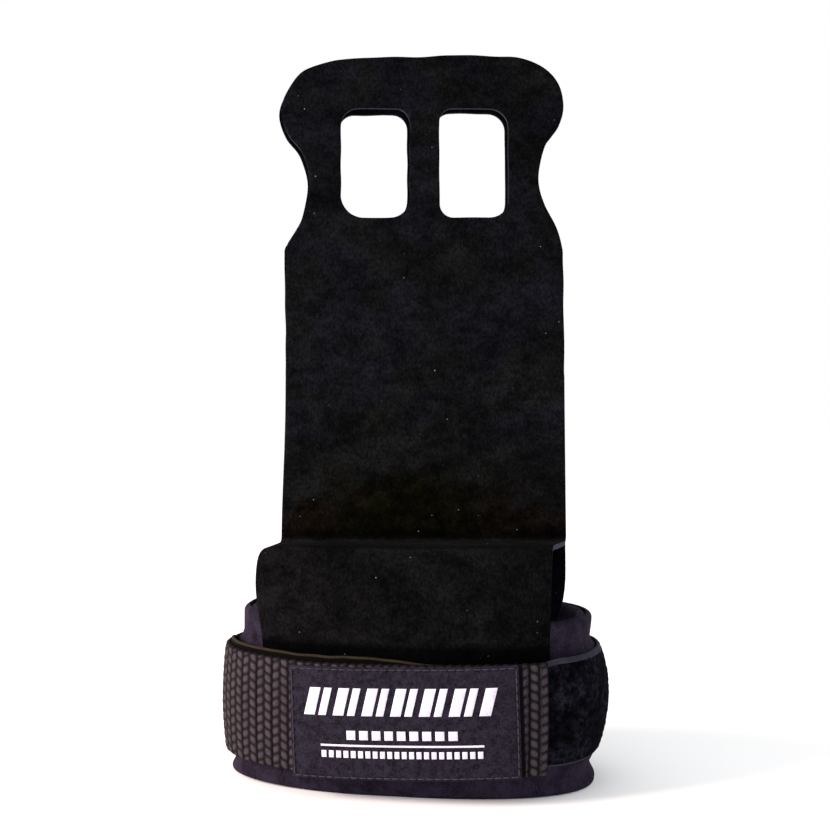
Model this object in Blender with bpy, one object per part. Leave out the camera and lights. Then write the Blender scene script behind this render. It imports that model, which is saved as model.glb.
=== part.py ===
"""Two-finger palm grip: a leather palm guard on a padded wrist cuff with a strap.

The wearer's hand goes up through the oval cuff, two fingers go through the
windows of the leather, and the strap closes round the wrist. The guard is two
plies of leather. At the wrist the front ply folds forward over the cuff's rim
and runs down outside it, under the strap, while the back ply runs down inside.

Frame: the cuff stands on z = 0 and opens upwards, the guard stands above it,
and the labelled side of the strap faces -Y. Sizes below are in millimetres.
"""

import math

import bmesh
import bpy
import numpy as np
from mathutils import Vector
from mathutils.geometry import delaunay_2d_cdt

MM = 0.001

# Cuff: an oval neoprene tube, squeezed by the strap and flared at its foot.
CUFF_CENTRE = Vector((-0.3, 2.95, 0.0))
OVAL_POWER = 2.5
CUFF_HEIGHT = 56.5
CUFF_HALF_WIDTH = 59.4
CUFF_HALF_DEPTH = 32.7
RIM_SPREAD = 0.3
FOOT_SPREAD_X = 3.0
FOOT_SPREAD_Y = 1.2
FOOT_HEIGHT = 7.0
FOAM_THICKNESS = 4.0
SKIN_THICKNESS = 0.5
SKIN_LIFT = 0.5
SKIN_TOP_DROP = 0.2
GAP = 0.3
FLARE_RING_HEIGHT = 2.5
CUFF_SEGMENTS = 56
SEAM_MARGIN = 1.5
SEAM_STEP = 3.0
SEAM_SWING = 2.0

# Strap: webbing from the back round the left side, closing over a loop band.
STRAP_HEIGHT = 38.0
STRAP_BOTTOM = 8.0
STRAP_HALF_WIDTH = 60.0
STRAP_HALF_DEPTH = 33.0
CROWN_LEFT = 1.6
CROWN_RIGHT = 3.9
TOP_SPREAD_RIGHT = 1.8
ARC_STEP = 4.5
ROW_STEP = 6.0
ROW_MARGIN = 2.0

# Layers over the cuff's front, as offsets outwards from the strap's oval.
FRONT_PLY_OFFSET = 0.1
LOOP_OVER_LEATHER = 2.9
LOOP_AT_SIDE = 0.2
LOOP_AT_BACK = 0.9
LOOP_THICKNESS = 1.5
LOOP_BOTTOM = 10.4
HOOK_OFFSET = 4.7
HOOK_THICKNESS = 0.9
HOOK_RISE = 0.3
HOOK_END_GAP = 3.0
WEBBING_OVER_HOOK = 5.9
WEBBING_AT_SIDE = 1.8
WEBBING_AT_BACK = 0.9
WEBBING_THICKNESS = 1.6
LABEL_OFFSET = 7.8
LABEL_THICKNESS = 0.6
THREAD_THICKNESS = 0.4
THREAD_WIDTH = 0.6
THREAD_LIFT = 0.15

# Places along the strap, as arc length from the front centre, +X positive.
PEEL_ARC = -66.0
PEEL_GAP = 2.0
TAB_END_ARC = 45.6
LABEL_ARCS = (-32.8, 37.4)
LABEL_MARGIN = 0.9
LABEL_STITCH_INSET = 1.8
LOOP_ARCS = (-46.0, 136.0)
WEBBING_BACK_ARC = -164.0
ANCHOR_ARCS = (-158.0, -146.0)
TAB_STITCH_ARCS = (39.3, 43.3)

# Leather guard: the pattern's u runs across it, s up it from the wrist crease.
PLY_THICKNESS = 2.0
PLY_GAP = 0.3
CREASE = Vector((4.6, -7.7, 81.8))
GUARD_YAW = math.radians(10.2)
GUARD_LEAN = math.radians(6.8)
GUARD_HALF_WIDTH = 47.7
WINDOW_CENTRE = (17.1, 129.4)
WINDOW_SIZE = (23.8, 38.6)
WINDOW_CORNER = 4.5
BACK_PLY_SHIFT = (-0.9, -0.9)
FOLD_AXIS_S = 3.7
CURL_AXIS_S = 103.5
BEND_CLEARANCE = 2.7
LOWER_PLY_TOP_S = 1.7

# Wrist end of the leather.
SHELF_DROP = 1.9
FOLD_TOP = 80.9
FOLD_FRONT = -38.2
FOLD_SIDE_RETREAT = 8.8
FOLD_YAW = math.radians(6.5)
FOLD_CENTRE_X = 0.8
FRONT_PLY_HALF_WIDTH = 47.9
STRAP_TOP_CLEAR = 47.5
LEATHER_FOOT = 12.0
TAIL_TURN_S = -20.0
TAIL_WALL_TOP = 42.0
TAIL_ARC_CENTRE = 3.0
TAIL_ARC_SCALE = 0.93
TAIL_WALL_GAP = 0.4
LEATHER_STEP = 8.0
ANCHOR_ROW_HEIGHTS = (17.0, 30.0)

LEATHER = ("leather", (0.010, 0.009, 0.012), 0.9)
CUT_LEATHER = ("leather_back", (0.012, 0.011, 0.015), 0.9)
NEOPRENE = ("neoprene", (0.012, 0.011, 0.013), 0.95)
JERSEY = ("jersey", (0.030, 0.022, 0.032), 0.95)
WEBBING = ("webbing", (0.024, 0.019, 0.020), 0.75)
LOOP = ("loop_pile", (0.010, 0.007, 0.014), 1.0)
HOOK = ("hook_tape", (0.075, 0.055, 0.030), 0.7)
LABEL = ("label", (0.030, 0.026, 0.036), 0.8)
THREAD = ("thread", (0.045, 0.038, 0.050), 0.7)


def clear_scene():
    for obj in list(bpy.data.objects):
        bpy.data.objects.remove(obj, do_unlink=True)


def material(spec):
    name, colour, roughness = spec
    found = bpy.data.materials.get(name)
    if found:
        return found
    made = bpy.data.materials.new(name)
    made.use_nodes = True
    shader = made.node_tree.nodes["Principled BSDF"]
    shader.inputs["Base Color"].default_value = (*colour, 1.0)
    shader.inputs["Roughness"].default_value = roughness
    shader.inputs["Metallic"].default_value = 0.0
    return made


def add_object(name, bm, spec, pivot=None):
    """Turn a bmesh in cuff-centred millimetres into an object, origin at pivot."""
    origin = (pivot or Vector((0.0, 0.0, 0.0))) + CUFF_CENTRE
    bmesh.ops.recalc_face_normals(bm, faces=bm.faces)
    for vert in bm.verts:
        vert.co = (vert.co + CUFF_CENTRE - origin) * MM
    mesh = bpy.data.meshes.new(name)
    bm.to_mesh(mesh)
    bm.free()
    mesh.shade_smooth()
    mesh.set_sharp_from_angle(angle=math.radians(40.0))
    mesh.materials.append(material(spec))
    obj = bpy.data.objects.new(name, mesh)
    obj.location = origin * MM
    bpy.context.scene.collection.objects.link(obj)
    return obj


# ---------------------------------------------------------------- ovals


def oval_point(half_width, half_depth, angle):
    """Point of a rounded oval; angle 0 is the front centre, turning to +X."""
    power = 2.0 / OVAL_POWER
    x = half_width * math.copysign(abs(math.sin(angle)) ** power, math.sin(angle))
    y = -half_depth * math.copysign(abs(math.cos(angle)) ** power, math.cos(angle))
    return Vector((x, y, 0.0))


def oval_normal(half_width, half_depth, point):
    power = OVAL_POWER - 1.0
    nx = math.copysign(abs(point.x / half_width) ** power, point.x) / half_width
    ny = math.copysign(abs(point.y / half_depth) ** power, point.y) / half_depth
    return Vector((nx, ny, 0.0)).normalized()


class OvalPath:
    """An oval measured by arc length from its front centre, +X positive."""

    SAMPLES = 3600

    def __init__(self, half_width, half_depth):
        self.half_width = half_width
        self.half_depth = half_depth
        angles = np.linspace(-math.pi, math.pi, self.SAMPLES + 1)
        points = [oval_point(half_width, half_depth, a) for a in angles]
        steps = [(b - a).length for a, b in zip(points, points[1:])]
        arcs = np.concatenate([[0.0], np.cumsum(steps)])
        self.angles = angles
        self.arcs = arcs - arcs[self.SAMPLES // 2]
        self.length = arcs[-1]

    def angle_at(self, arc):
        half = self.length / 2.0
        wrapped = (arc + half) % self.length - half
        return float(np.interp(wrapped, self.arcs, self.angles))

    def at(self, arc, offset=0.0, z=0.0):
        base = oval_point(self.half_width, self.half_depth, self.angle_at(arc))
        normal = oval_normal(self.half_width, self.half_depth, base)
        point = base + normal * offset
        point.z = z
        return point


STRAP_PATH = OvalPath(STRAP_HALF_WIDTH, STRAP_HALF_DEPTH)
LINING_DEPTH = FOAM_THICKNESS + 2.0 * (GAP + SKIN_THICKNESS)
TAIL_INSET = LINING_DEPTH + TAIL_WALL_GAP
TAIL_PATH = OvalPath(CUFF_HALF_WIDTH - TAIL_INSET, CUFF_HALF_DEPTH - TAIL_INSET)


def smoothstep(low, high, value):
    t = min(max((value - low) / (high - low), 0.0), 1.0)
    return t * t * (3.0 - 2.0 * t)


# ------------------------------------------------------------ mesh helpers


def slab(lower, upper, closed=False):
    """Closed body between two equal grids of points; closed joins last row to first."""
    bm = bmesh.new()
    rows = len(lower)
    columns = len(lower[0])
    low = [[bm.verts.new(p) for p in row] for row in lower]
    high = [[bm.verts.new(p) for p in row] for row in upper]
    spans = rows if closed else rows - 1
    for i in range(spans):
        k = (i + 1) % rows
        for j in range(columns - 1):
            bm.faces.new((low[i][j], low[i][j + 1], low[k][j + 1], low[k][j]))
            bm.faces.new((high[i][j], high[k][j], high[k][j + 1], high[i][j + 1]))
        for j in (0, columns - 1):
            bm.faces.new((low[i][j], low[k][j], high[k][j], high[i][j]))
    if not closed:
        for i in (0, rows - 1):
            for j in range(columns - 1):
                bm.faces.new((low[i][j], low[i][j + 1], high[i][j + 1], high[i][j]))
    return bm


def offset_slab(grid, thickness):
    """Closed body of the given thickness centred on a grid of points."""
    lower = []
    upper = []
    rows = len(grid)
    columns = len(grid[0])
    for i in range(rows):
        low_row = []
        high_row = []
        for j in range(columns):
            across = grid[min(i + 1, rows - 1)][j] - grid[max(i - 1, 0)][j]
            along = grid[i][min(j + 1, columns - 1)] - grid[i][max(j - 1, 0)]
            normal = across.cross(along).normalized()
            low_row.append(grid[i][j] - normal * thickness / 2.0)
            high_row.append(grid[i][j] + normal * thickness / 2.0)
        lower.append(low_row)
        upper.append(high_row)
    return slab(lower, upper)


def rounded_path(corners, radii, steps):
    """Points along a polyline whose inner corners are rounded; radii fit them."""
    points = [corners[0]]
    for before, corner, after, radius in zip(corners, corners[1:], corners[2:], radii):
        start = corner + (before - corner).normalized() * radius
        end = corner + (after - corner).normalized() * radius
        for k in range(steps + 1):
            t = k / steps
            blend = start * (1 - t) ** 2 + corner * 2 * t * (1 - t) + end * t * t
            points.append(blend)
    points.append(corners[-1])
    return points


def spaced(start, end, step):
    """Evenly spaced values from start to end, about a step apart."""
    count = max(1, round(abs(end - start) / step))
    return [start + (end - start) * k / count for k in range(count + 1)]


# ------------------------------------------------------------------- cuff


def cuff_half_axes(z):
    """Half width and half depth of the foam's outer face at a height."""
    foot = (1.0 - min(z / FOOT_HEIGHT, 1.0)) ** 1.5
    strap_top = STRAP_BOTTOM + STRAP_HEIGHT
    rim = smoothstep(strap_top - 6.0, CUFF_HEIGHT, z)
    inset = GAP + SKIN_THICKNESS
    half_width = CUFF_HALF_WIDTH - inset + FOOT_SPREAD_X * foot + RIM_SPREAD * rim
    half_depth = CUFF_HALF_DEPTH - inset + FOOT_SPREAD_Y * foot
    return half_width, half_depth


def cuff_ring(heights, inner_offset, outer_offset):
    """Tube between two offsets from the foam's outer face."""
    lower = []
    upper = []
    for k in range(CUFF_SEGMENTS):
        angle = 2.0 * math.pi * k / CUFF_SEGMENTS
        low_row = []
        high_row = []
        for z in heights:
            half_width, half_depth = cuff_half_axes(z)
            base = oval_point(half_width, half_depth, angle)
            normal = oval_normal(half_width, half_depth, base)
            base.z = z
            low_row.append(base + normal * inner_offset)
            high_row.append(base + normal * outer_offset)
        lower.append(low_row)
        upper.append(high_row)
    return slab(lower, upper, closed=True)


def build_cuff():
    strap_top = STRAP_BOTTOM + STRAP_HEIGHT
    middle_heights = [FLARE_RING_HEIGHT, FOOT_HEIGHT, strap_top]
    heights = [0.0, *middle_heights, CUFF_HEIGHT]
    skin_heights = [SKIN_LIFT, *middle_heights, CUFF_HEIGHT - SKIN_TOP_DROP]
    skin_out = GAP + SKIN_THICKNESS
    add_object("cuff_foam", cuff_ring(heights, -FOAM_THICKNESS, 0.0), NEOPRENE)
    add_object("cuff_outer_jersey", cuff_ring(skin_heights, GAP, skin_out), JERSEY)
    lining = cuff_ring(skin_heights, -FOAM_THICKNESS - skin_out, -FOAM_THICKNESS - GAP)
    add_object("cuff_lining", lining, JERSEY)


def build_cuff_seam():
    """Zigzag thread over the tube's butt seam at the back, outside and inside."""
    outside = GAP + SKIN_THICKNESS + THREAD_LIFT
    inside = -FOAM_THICKNESS - outside - THREAD_THICKNESS
    for name, low in (("cuff_seam_thread_outer", outside), ("cuff_seam_thread_inner", inside)):
        points = []
        for k, z in enumerate(spaced(SEAM_MARGIN, CUFF_HEIGHT - SEAM_MARGIN, SEAM_STEP)):
            _, half_depth = cuff_half_axes(z)
            sideways = SEAM_SWING if k % 2 else -SEAM_SWING
            points.append(Vector((sideways, half_depth + low + THREAD_THICKNESS / 2.0, z)))
        add_object(name, ribbon(points, Vector((0.0, 1.0, 0.0))), THREAD)


def ribbon(points, outward):
    """Thread laid flat along points on a face whose normal is outward."""
    grid_low = []
    grid_high = []
    for k, point in enumerate(points):
        ahead = points[min(k + 1, len(points) - 1)] - points[max(k - 1, 0)]
        out = outward(k) if callable(outward) else outward
        side = ahead.cross(out).normalized() * THREAD_WIDTH / 2.0
        rise = out * THREAD_THICKNESS / 2.0
        grid_low.append([point - side - rise, point + side - rise])
        grid_high.append([point - side + rise, point + side + rise])
    return slab(grid_low, grid_high)


# ------------------------------------------------------------------ strap


def crown(arc, z):
    """How far the strap bellies out at the cuff's two sides."""
    x = STRAP_PATH.at(arc).x
    q = (z - STRAP_BOTTOM) / STRAP_HEIGHT * 2.0 - 1.0
    height = CROWN_RIGHT if x > 0.0 else CROWN_LEFT
    spread = TOP_SPREAD_RIGHT if x > 0.0 else 0.0
    profile = height * (1.0 - q * q) + spread * (1.0 + q) / 2.0
    return profile * (abs(x) / STRAP_HALF_WIDTH) ** 4


def loop_offset(arc):
    """Inner face of the loop band: over the leather in front, on the cuff behind."""
    side = smoothstep(50.0, 70.0, arc)
    back = smoothstep(95.0, 125.0, arc)
    offset = LOOP_OVER_LEATHER + (LOOP_AT_SIDE - LOOP_OVER_LEATHER) * side
    return offset + (LOOP_AT_BACK - LOOP_AT_SIDE) * back


def webbing_offset(arc):
    """Inner face of the webbing: over the hook tape in front, on the cuff behind."""
    side = smoothstep(50.0, 84.0, -arc)
    back = smoothstep(110.0, 140.0, -arc)
    offset = WEBBING_OVER_HOOK + (WEBBING_AT_SIDE - WEBBING_OVER_HOOK) * side
    return offset + (WEBBING_AT_BACK - WEBBING_AT_SIDE) * back


def strap_layer(arcs, heights, inner, thickness):
    """Band along the strap; inner gives its inner offset at an arc."""
    lower = []
    upper = []
    for arc in arcs:
        offsets = [inner(arc) + crown(arc, z) for z in heights]
        lower.append([STRAP_PATH.at(arc, o, z) for o, z in zip(offsets, heights)])
        upper.append([STRAP_PATH.at(arc, o + thickness, z) for o, z in zip(offsets, heights)])
    return slab(lower, upper)


def strap_surface(arc, z, offset):
    return STRAP_PATH.at(arc, offset + crown(arc, z), z)


def strap_normal(arc):
    return (STRAP_PATH.at(arc, 1.0) - STRAP_PATH.at(arc, 0.0)).normalized()


def peel_pivot():
    """Point on the strap's hinge line, in the middle of the webbing."""
    z = STRAP_BOTTOM + STRAP_HEIGHT / 2.0
    offset = webbing_offset(PEEL_ARC) + WEBBING_THICKNESS / 2.0 + CROWN_LEFT / 2.0
    return STRAP_PATH.at(PEEL_ARC, offset, z)


def build_strap():
    heights = spaced(STRAP_BOTTOM, STRAP_BOTTOM + STRAP_HEIGHT, STRAP_HEIGHT / 4.0)
    loop_arcs = spaced(*LOOP_ARCS, ARC_STEP)
    loop_heights = spaced(LOOP_BOTTOM, STRAP_BOTTOM + STRAP_HEIGHT, STRAP_HEIGHT / 4.0)
    loop = strap_layer(loop_arcs, loop_heights, loop_offset, LOOP_THICKNESS)
    add_object("loop_band", loop, LOOP)
    back_arcs = spaced(PEEL_ARC - PEEL_GAP, WEBBING_BACK_ARC, ARC_STEP)
    webbing = strap_layer(back_arcs, heights, webbing_offset, WEBBING_THICKNESS)
    add_object("webbing_back", webbing, WEBBING)
    for number, arc in enumerate(ANCHOR_ARCS, start=1):
        stitch = strap_stitch(arc, webbing_offset(arc) + WEBBING_THICKNESS)
        add_object(f"strap_anchor_stitch_{number}", stitch, THREAD)


def strap_stitch(arc, face_offset):
    """Upright row of stitching on the strap's outer face."""
    offset = face_offset + THREAD_LIFT + THREAD_THICKNESS / 2.0
    zs = spaced(STRAP_BOTTOM + ROW_MARGIN, STRAP_BOTTOM + STRAP_HEIGHT - ROW_MARGIN, ROW_STEP)
    points = [strap_surface(arc, z, offset) for z in zs]
    return ribbon(points, strap_normal(arc))


def build_tab():
    pivot = peel_pivot()
    top = STRAP_BOTTOM + STRAP_HEIGHT
    heights = spaced(STRAP_BOTTOM, top, STRAP_HEIGHT / 4.0)
    tab_arcs = spaced(PEEL_ARC + PEEL_GAP, TAB_END_ARC, ARC_STEP)
    tab = strap_layer(tab_arcs, heights, webbing_offset, WEBBING_THICKNESS)
    add_object("webbing_tab", tab, WEBBING, pivot)
    hook_arcs = spaced(PEEL_ARC + PEEL_GAP, TAB_END_ARC - HOOK_END_GAP, ARC_STEP)
    hook_heights = spaced(STRAP_BOTTOM + HOOK_RISE, top + HOOK_RISE, STRAP_HEIGHT / 3.0)
    hook_gap = WEBBING_OVER_HOOK - HOOK_OFFSET
    hook = strap_layer(hook_arcs, hook_heights, lambda a: webbing_offset(a) - hook_gap, HOOK_THICKNESS)
    add_object("hook_patch", hook, HOOK, pivot)
    label_arcs = spaced(*LABEL_ARCS, ARC_STEP)
    label_heights = spaced(STRAP_BOTTOM + LABEL_MARGIN, top - LABEL_MARGIN, STRAP_HEIGHT / 3.0)
    label = strap_layer(label_arcs, label_heights, lambda a: LABEL_OFFSET, LABEL_THICKNESS)
    add_object("label", label, LABEL, pivot)
    add_object("label_stitch", label_frame(), THREAD, pivot)
    for number, arc in enumerate(TAB_STITCH_ARCS, start=1):
        stitch = strap_stitch(arc, webbing_offset(arc) + WEBBING_THICKNESS)
        add_object(f"tab_end_stitch_{number}", stitch, THREAD, pivot)


def label_frame():
    """One closed loop of stitching just inside the label's edge."""
    low = STRAP_BOTTOM + LABEL_MARGIN + LABEL_STITCH_INSET
    high = STRAP_BOTTOM + STRAP_HEIGHT - LABEL_MARGIN - LABEL_STITCH_INSET
    left = LABEL_ARCS[0] + LABEL_STITCH_INSET
    right = LABEL_ARCS[1] - LABEL_STITCH_INSET
    path = [(arc, low) for arc in spaced(left, right, ARC_STEP)]
    path += [(right, z) for z in spaced(low, high, ROW_STEP)[1:]]
    path += [(arc, high) for arc in spaced(right, left, ARC_STEP)[1:]]
    path += [(left, z) for z in spaced(high, low, ROW_STEP)[1:-1]]
    centre = ((left + right) / 2.0, (low + high) / 2.0)
    base = LABEL_OFFSET + LABEL_THICKNESS + THREAD_LIFT
    lower = []
    upper = []
    for arc, z in path:
        inner_arc = arc + math.copysign(THREAD_WIDTH, centre[0] - arc) * (arc in (left, right))
        inner_z = z + math.copysign(THREAD_WIDTH, centre[1] - z) * (z in (low, high))
        pair = ((arc, z), (inner_arc, inner_z))
        lower.append([strap_surface(a, h, base) for a, h in pair])
        upper.append([strap_surface(a, h, base + THREAD_THICKNESS) for a, h in pair])
    return slab(lower, upper, closed=True)


# ---------------------------------------------------------------- leather


def guard_axes():
    """Unit vectors across the guard, up it, and from its front face to its back."""
    across = Vector((math.cos(GUARD_YAW), math.sin(GUARD_YAW), 0.0))
    level = Vector((-math.sin(GUARD_YAW), math.cos(GUARD_YAW), 0.0))
    upright = Vector((0.0, 0.0, 1.0))
    up = level * math.sin(GUARD_LEAN) + upright * math.cos(GUARD_LEAN)
    back = level * math.cos(GUARD_LEAN) - upright * math.sin(GUARD_LEAN)
    return across, up, back


def guard_point(u, s, depth):
    across, up, back = guard_axes()
    return CREASE + across * u + up * s + back * depth


def bend_pivot(s):
    """Point on a bend line, between the two plies."""
    return guard_point(0.0, s, PLY_THICKNESS + PLY_GAP / 2.0)


def smooth_curve(points, steps):
    """Catmull-Rom curve through points (u, s), keeping its end points."""
    padded = [points[0], *points, points[-1]]
    curve = []
    for a, b, c, d in zip(padded, padded[1:], padded[2:], padded[3:]):
        for k in range(steps):
            t = k / steps
            blend = (
                b * 2.0
                + (c - a) * t
                + (a * 2.0 - b * 5.0 + c * 4.0 - d) * t * t
                + (b * 3.0 - a - c * 3.0 + d) * t * t * t
            )
            curve.append(blend * 0.5)
    curve.append(points[-1])
    return curve


def guard_outline(steps):
    """Edge of the guard above the crease, anticlockwise from the lower right."""
    right = [(47.7, 98.5), (45.5, 107.0), (41.3, 115.5), (39.5, 125.0), (42.0, 135.5)]
    right += [(46.5, 142.5), (48.6, 149.5), (47.0, 157.3), (41.9, 163.4), (33.2, 167.0)]
    top = [(10.0, 168.0), (-14.0, 167.0), (-33.5, 165.3)]
    left = [(-42.4, 161.9), (-47.5, 155.2), (-49.8, 147.5), (-47.5, 139.8)]
    left += [(-42.3, 132.8), (-39.8, 122.5), (-42.0, 110.5), (-47.6, 100.6)]
    edge = [Vector((GUARD_HALF_WIDTH, 0.0))]
    edge += smooth_curve([Vector(p) for p in right + top + left], steps)
    edge.append(Vector((-GUARD_HALF_WIDTH, 0.0)))
    return edge


def clip_outline(outline, low, high):
    """Part of a closed outline between two values of s."""
    kept = outline
    for limit, sign in ((low, 1.0), (high, -1.0)):
        result = []
        for a, b in zip(kept, kept[1:] + kept[:1]):
            inside_a = (a.y - limit) * sign >= 0.0
            inside_b = (b.y - limit) * sign >= 0.0
            if inside_a:
                result.append(a)
            if inside_a != inside_b:
                result.append(a.lerp(b, (limit - a.y) / (b.y - a.y)))
        kept = result
    return kept


def window_outline(side, steps):
    """Rounded rectangle that one finger goes through; side is -1 or 1."""
    centre = Vector((side * WINDOW_CENTRE[0], WINDOW_CENTRE[1]))
    corner_x = WINDOW_SIZE[0] / 2.0 - WINDOW_CORNER
    corner_y = WINDOW_SIZE[1] / 2.0 - WINDOW_CORNER
    points = []
    for quarter, (sx, sy) in enumerate(((1, 1), (-1, 1), (-1, -1), (1, -1))):
        for k in range(steps + 1):
            angle = (quarter + k / steps) * math.pi / 2.0
            arm = Vector((math.cos(angle), math.sin(angle))) * WINDOW_CORNER
            points.append(centre + Vector((sx * corner_x, sy * corner_y)) + arm)
    return points


def inside_loop(point, loop):
    """Whether a point lies inside a closed outline."""
    inside = False
    for a, b in zip(loop, loop[1:] + loop[:1]):
        if (a.y > point.y) != (b.y > point.y):
            crossing = a.x + (point.y - a.y) / (b.y - a.y) * (b.x - a.x)
            if point.x < crossing:
                inside = not inside
    return inside


def cut_ply(outline, holes, front_depth):
    """Flat ply of leather with holes, lying from front_depth backwards."""
    loops = [outline, *holes]
    points = [p for loop in loops for p in loop]
    edges = []
    start = 0
    for loop in loops:
        count = len(loop)
        edges += [(start + k, start + (k + 1) % count) for k in range(count)]
        start += count
    verts, _, faces, *_ = delaunay_2d_cdt(points, edges, [], 1, 1e-4)
    bm = bmesh.new()
    front = [bm.verts.new(guard_point(v.x, v.y, front_depth)) for v in verts]
    back = [bm.verts.new(guard_point(v.x, v.y, front_depth + PLY_THICKNESS)) for v in verts]
    used = {}
    for face in faces:
        centre = sum((verts[k] for k in face), Vector((0.0, 0.0))) / len(face)
        if any(inside_loop(centre, hole) for hole in holes):
            continue
        bm.faces.new([front[k] for k in face])
        bm.faces.new([back[k] for k in reversed(face)])
        for a, b in zip(face, face[1:] + face[:1]):
            used[(a, b)] = True
    for a, b in used:
        if (b, a) not in used:
            bm.faces.new((front[b], front[a], back[a], back[b]))
    return bm


def shifted(loop, shift):
    return [p + Vector(shift) for p in loop]


def build_guard():
    """Both plies, split at the fold by the wrist and at the bend below the windows."""
    outline = guard_outline(3)
    windows = [window_outline(side, 4) for side in (-1, 1)]
    spans = {
        "palm": (FOLD_AXIS_S + BEND_CLEARANCE, CURL_AXIS_S - BEND_CLEARANCE, FOLD_AXIS_S),
        "head": (CURL_AXIS_S + BEND_CLEARANCE, 200.0, CURL_AXIS_S),
    }
    plies = {
        "front": ((0.0, 0.0), 0.0, LEATHER),
        "back": (BACK_PLY_SHIFT, PLY_THICKNESS + PLY_GAP, CUT_LEATHER),
    }
    for side, (shift, depth, spec) in plies.items():
        for part, (low, high, axis_s) in spans.items():
            head = part == "head"
            whole = shifted(outline, shift) if head else outline
            piece = clip_outline(whole, low, high)
            holes = [shifted(w, shift) for w in windows] if head else []
            bm = cut_ply(piece, holes, depth)
            add_object(f"{side}_leather_{part}", bm, spec, bend_pivot(axis_s))


def front_ply_path(u):
    """Middle of the front ply from the crease over the fold to under the strap."""
    share = u / FRONT_PLY_HALF_WIDTH
    guard_u = share * GUARD_HALF_WIDTH
    middle = PLY_THICKNESS / 2.0
    start = guard_point(guard_u, LOWER_PLY_TOP_S, middle)
    crease = guard_point(guard_u, -SHELF_DROP, middle)
    fold_y = FOLD_FRONT + FOLD_SIDE_RETREAT * abs(share) ** 2.2 + u * math.sin(FOLD_YAW)
    fold = Vector((FOLD_CENTRE_X + u * math.cos(FOLD_YAW), fold_y, FOLD_TOP))
    offset = FRONT_PLY_OFFSET + middle
    tuck = STRAP_PATH.at(FOLD_CENTRE_X + u, offset, STRAP_TOP_CLEAR)
    foot = STRAP_PATH.at(FOLD_CENTRE_X + u, offset, LEATHER_FOOT)
    return rounded_path([start, crease, fold, tuck, foot], (2.6, 5.5, 6.0), 4)


def back_ply_path(u):
    """Middle of the back ply from the crease down to the cuff's inner front wall."""
    middle = PLY_THICKNESS * 1.5 + PLY_GAP
    start = guard_point(u, LOWER_PLY_TOP_S, middle)
    turn = guard_point(u, TAIL_TURN_S, middle)
    arc = TAIL_ARC_CENTRE + u * TAIL_ARC_SCALE
    wall = TAIL_PATH.at(arc, -PLY_THICKNESS / 2.0, TAIL_WALL_TOP)
    foot = TAIL_PATH.at(arc, -PLY_THICKNESS / 2.0, LEATHER_FOOT)
    return rounded_path([start, turn, wall, foot], (9.0, 9.0), 3)


def build_wrist_leather():
    front_us = spaced(-FRONT_PLY_HALF_WIDTH, FRONT_PLY_HALF_WIDTH, LEATHER_STEP)
    front = [front_ply_path(u) for u in front_us]
    add_object("front_leather_wrist", offset_slab(front, PLY_THICKNESS), LEATHER)
    back_us = spaced(-GUARD_HALF_WIDTH, GUARD_HALF_WIDTH, LEATHER_STEP)
    back = [back_ply_path(u) for u in back_us]
    add_object("back_leather_wrist", offset_slab(back, PLY_THICKNESS), CUT_LEATHER)


def build_anchor_rows():
    """Rows that sew both plies through the cuff's front wall."""
    lift = THREAD_LIFT + THREAD_THICKNESS / 2.0
    places = {
        "outer": (STRAP_PATH, FRONT_PLY_OFFSET + PLY_THICKNESS + lift, (-44.0, 43.0)),
        "inner": (TAIL_PATH, -PLY_THICKNESS - lift, (-37.0, 43.0)),
    }
    for face, (path, offset, arcs) in places.items():
        for level, z in zip(("lower", "upper"), ANCHOR_ROW_HEIGHTS):
            row = spaced(*arcs, ROW_STEP)
            points = [path.at(arc, offset, z) for arc in row]
            normals = [(path.at(a, 1.0) - path.at(a, 0.0)).normalized() for a in row]
            thread = ribbon(points, lambda k, normals=normals: normals[k])
            add_object(f"leather_stitch_{face}_{level}", thread, THREAD)


# ------------------------------------------------------------------ joints


def add_axis(name, point, children):
    """Empty on a joint's axis that carries the pieces of the moving body."""
    empty = bpy.data.objects.new(name, None)
    empty.location = (point + CUFF_CENTRE) * MM
    bpy.context.scene.collection.objects.link(empty)
    bpy.context.view_layer.update()
    for child in children:
        child.parent = empty
        child.matrix_parent_inverse = empty.matrix_world.inverted()
    return empty


def build_axes():
    objects = bpy.data.objects
    heads = [objects["front_leather_head"], objects["back_leather_head"]]
    palms = [objects["front_leather_palm"], objects["back_leather_palm"]]
    tab_names = ("webbing_tab", "hook_patch", "label", "label_stitch")
    tabs = [objects[name] for name in tab_names]
    tabs += [objects[f"tab_end_stitch_{k}"] for k in (1, 2)]
    curl = add_axis("finger_curl_axis", bend_pivot(CURL_AXIS_S), heads)
    add_axis("palm_fold_axis", bend_pivot(FOLD_AXIS_S), [*palms, curl])
    add_axis("strap_peel_axis", peel_pivot(), tabs)


def main():
    clear_scene()
    build_cuff()
    build_cuff_seam()
    build_wrist_leather()
    build_anchor_rows()
    build_strap()
    build_tab()
    build_guard()
    build_axes()


main()
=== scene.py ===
"""Looks of the two-finger palm grip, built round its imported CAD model.

Shapes are laid out in millimetres, measured from the centre of the cuff, and
moved to the row frame when a mesh is made. The curves of the cuff, the strap
and the leather guard are the CAD model's own.
"""

import math

import bpy
import numpy as np
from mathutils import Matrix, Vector
from mathutils.geometry import delaunay_2d_cdt


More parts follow.
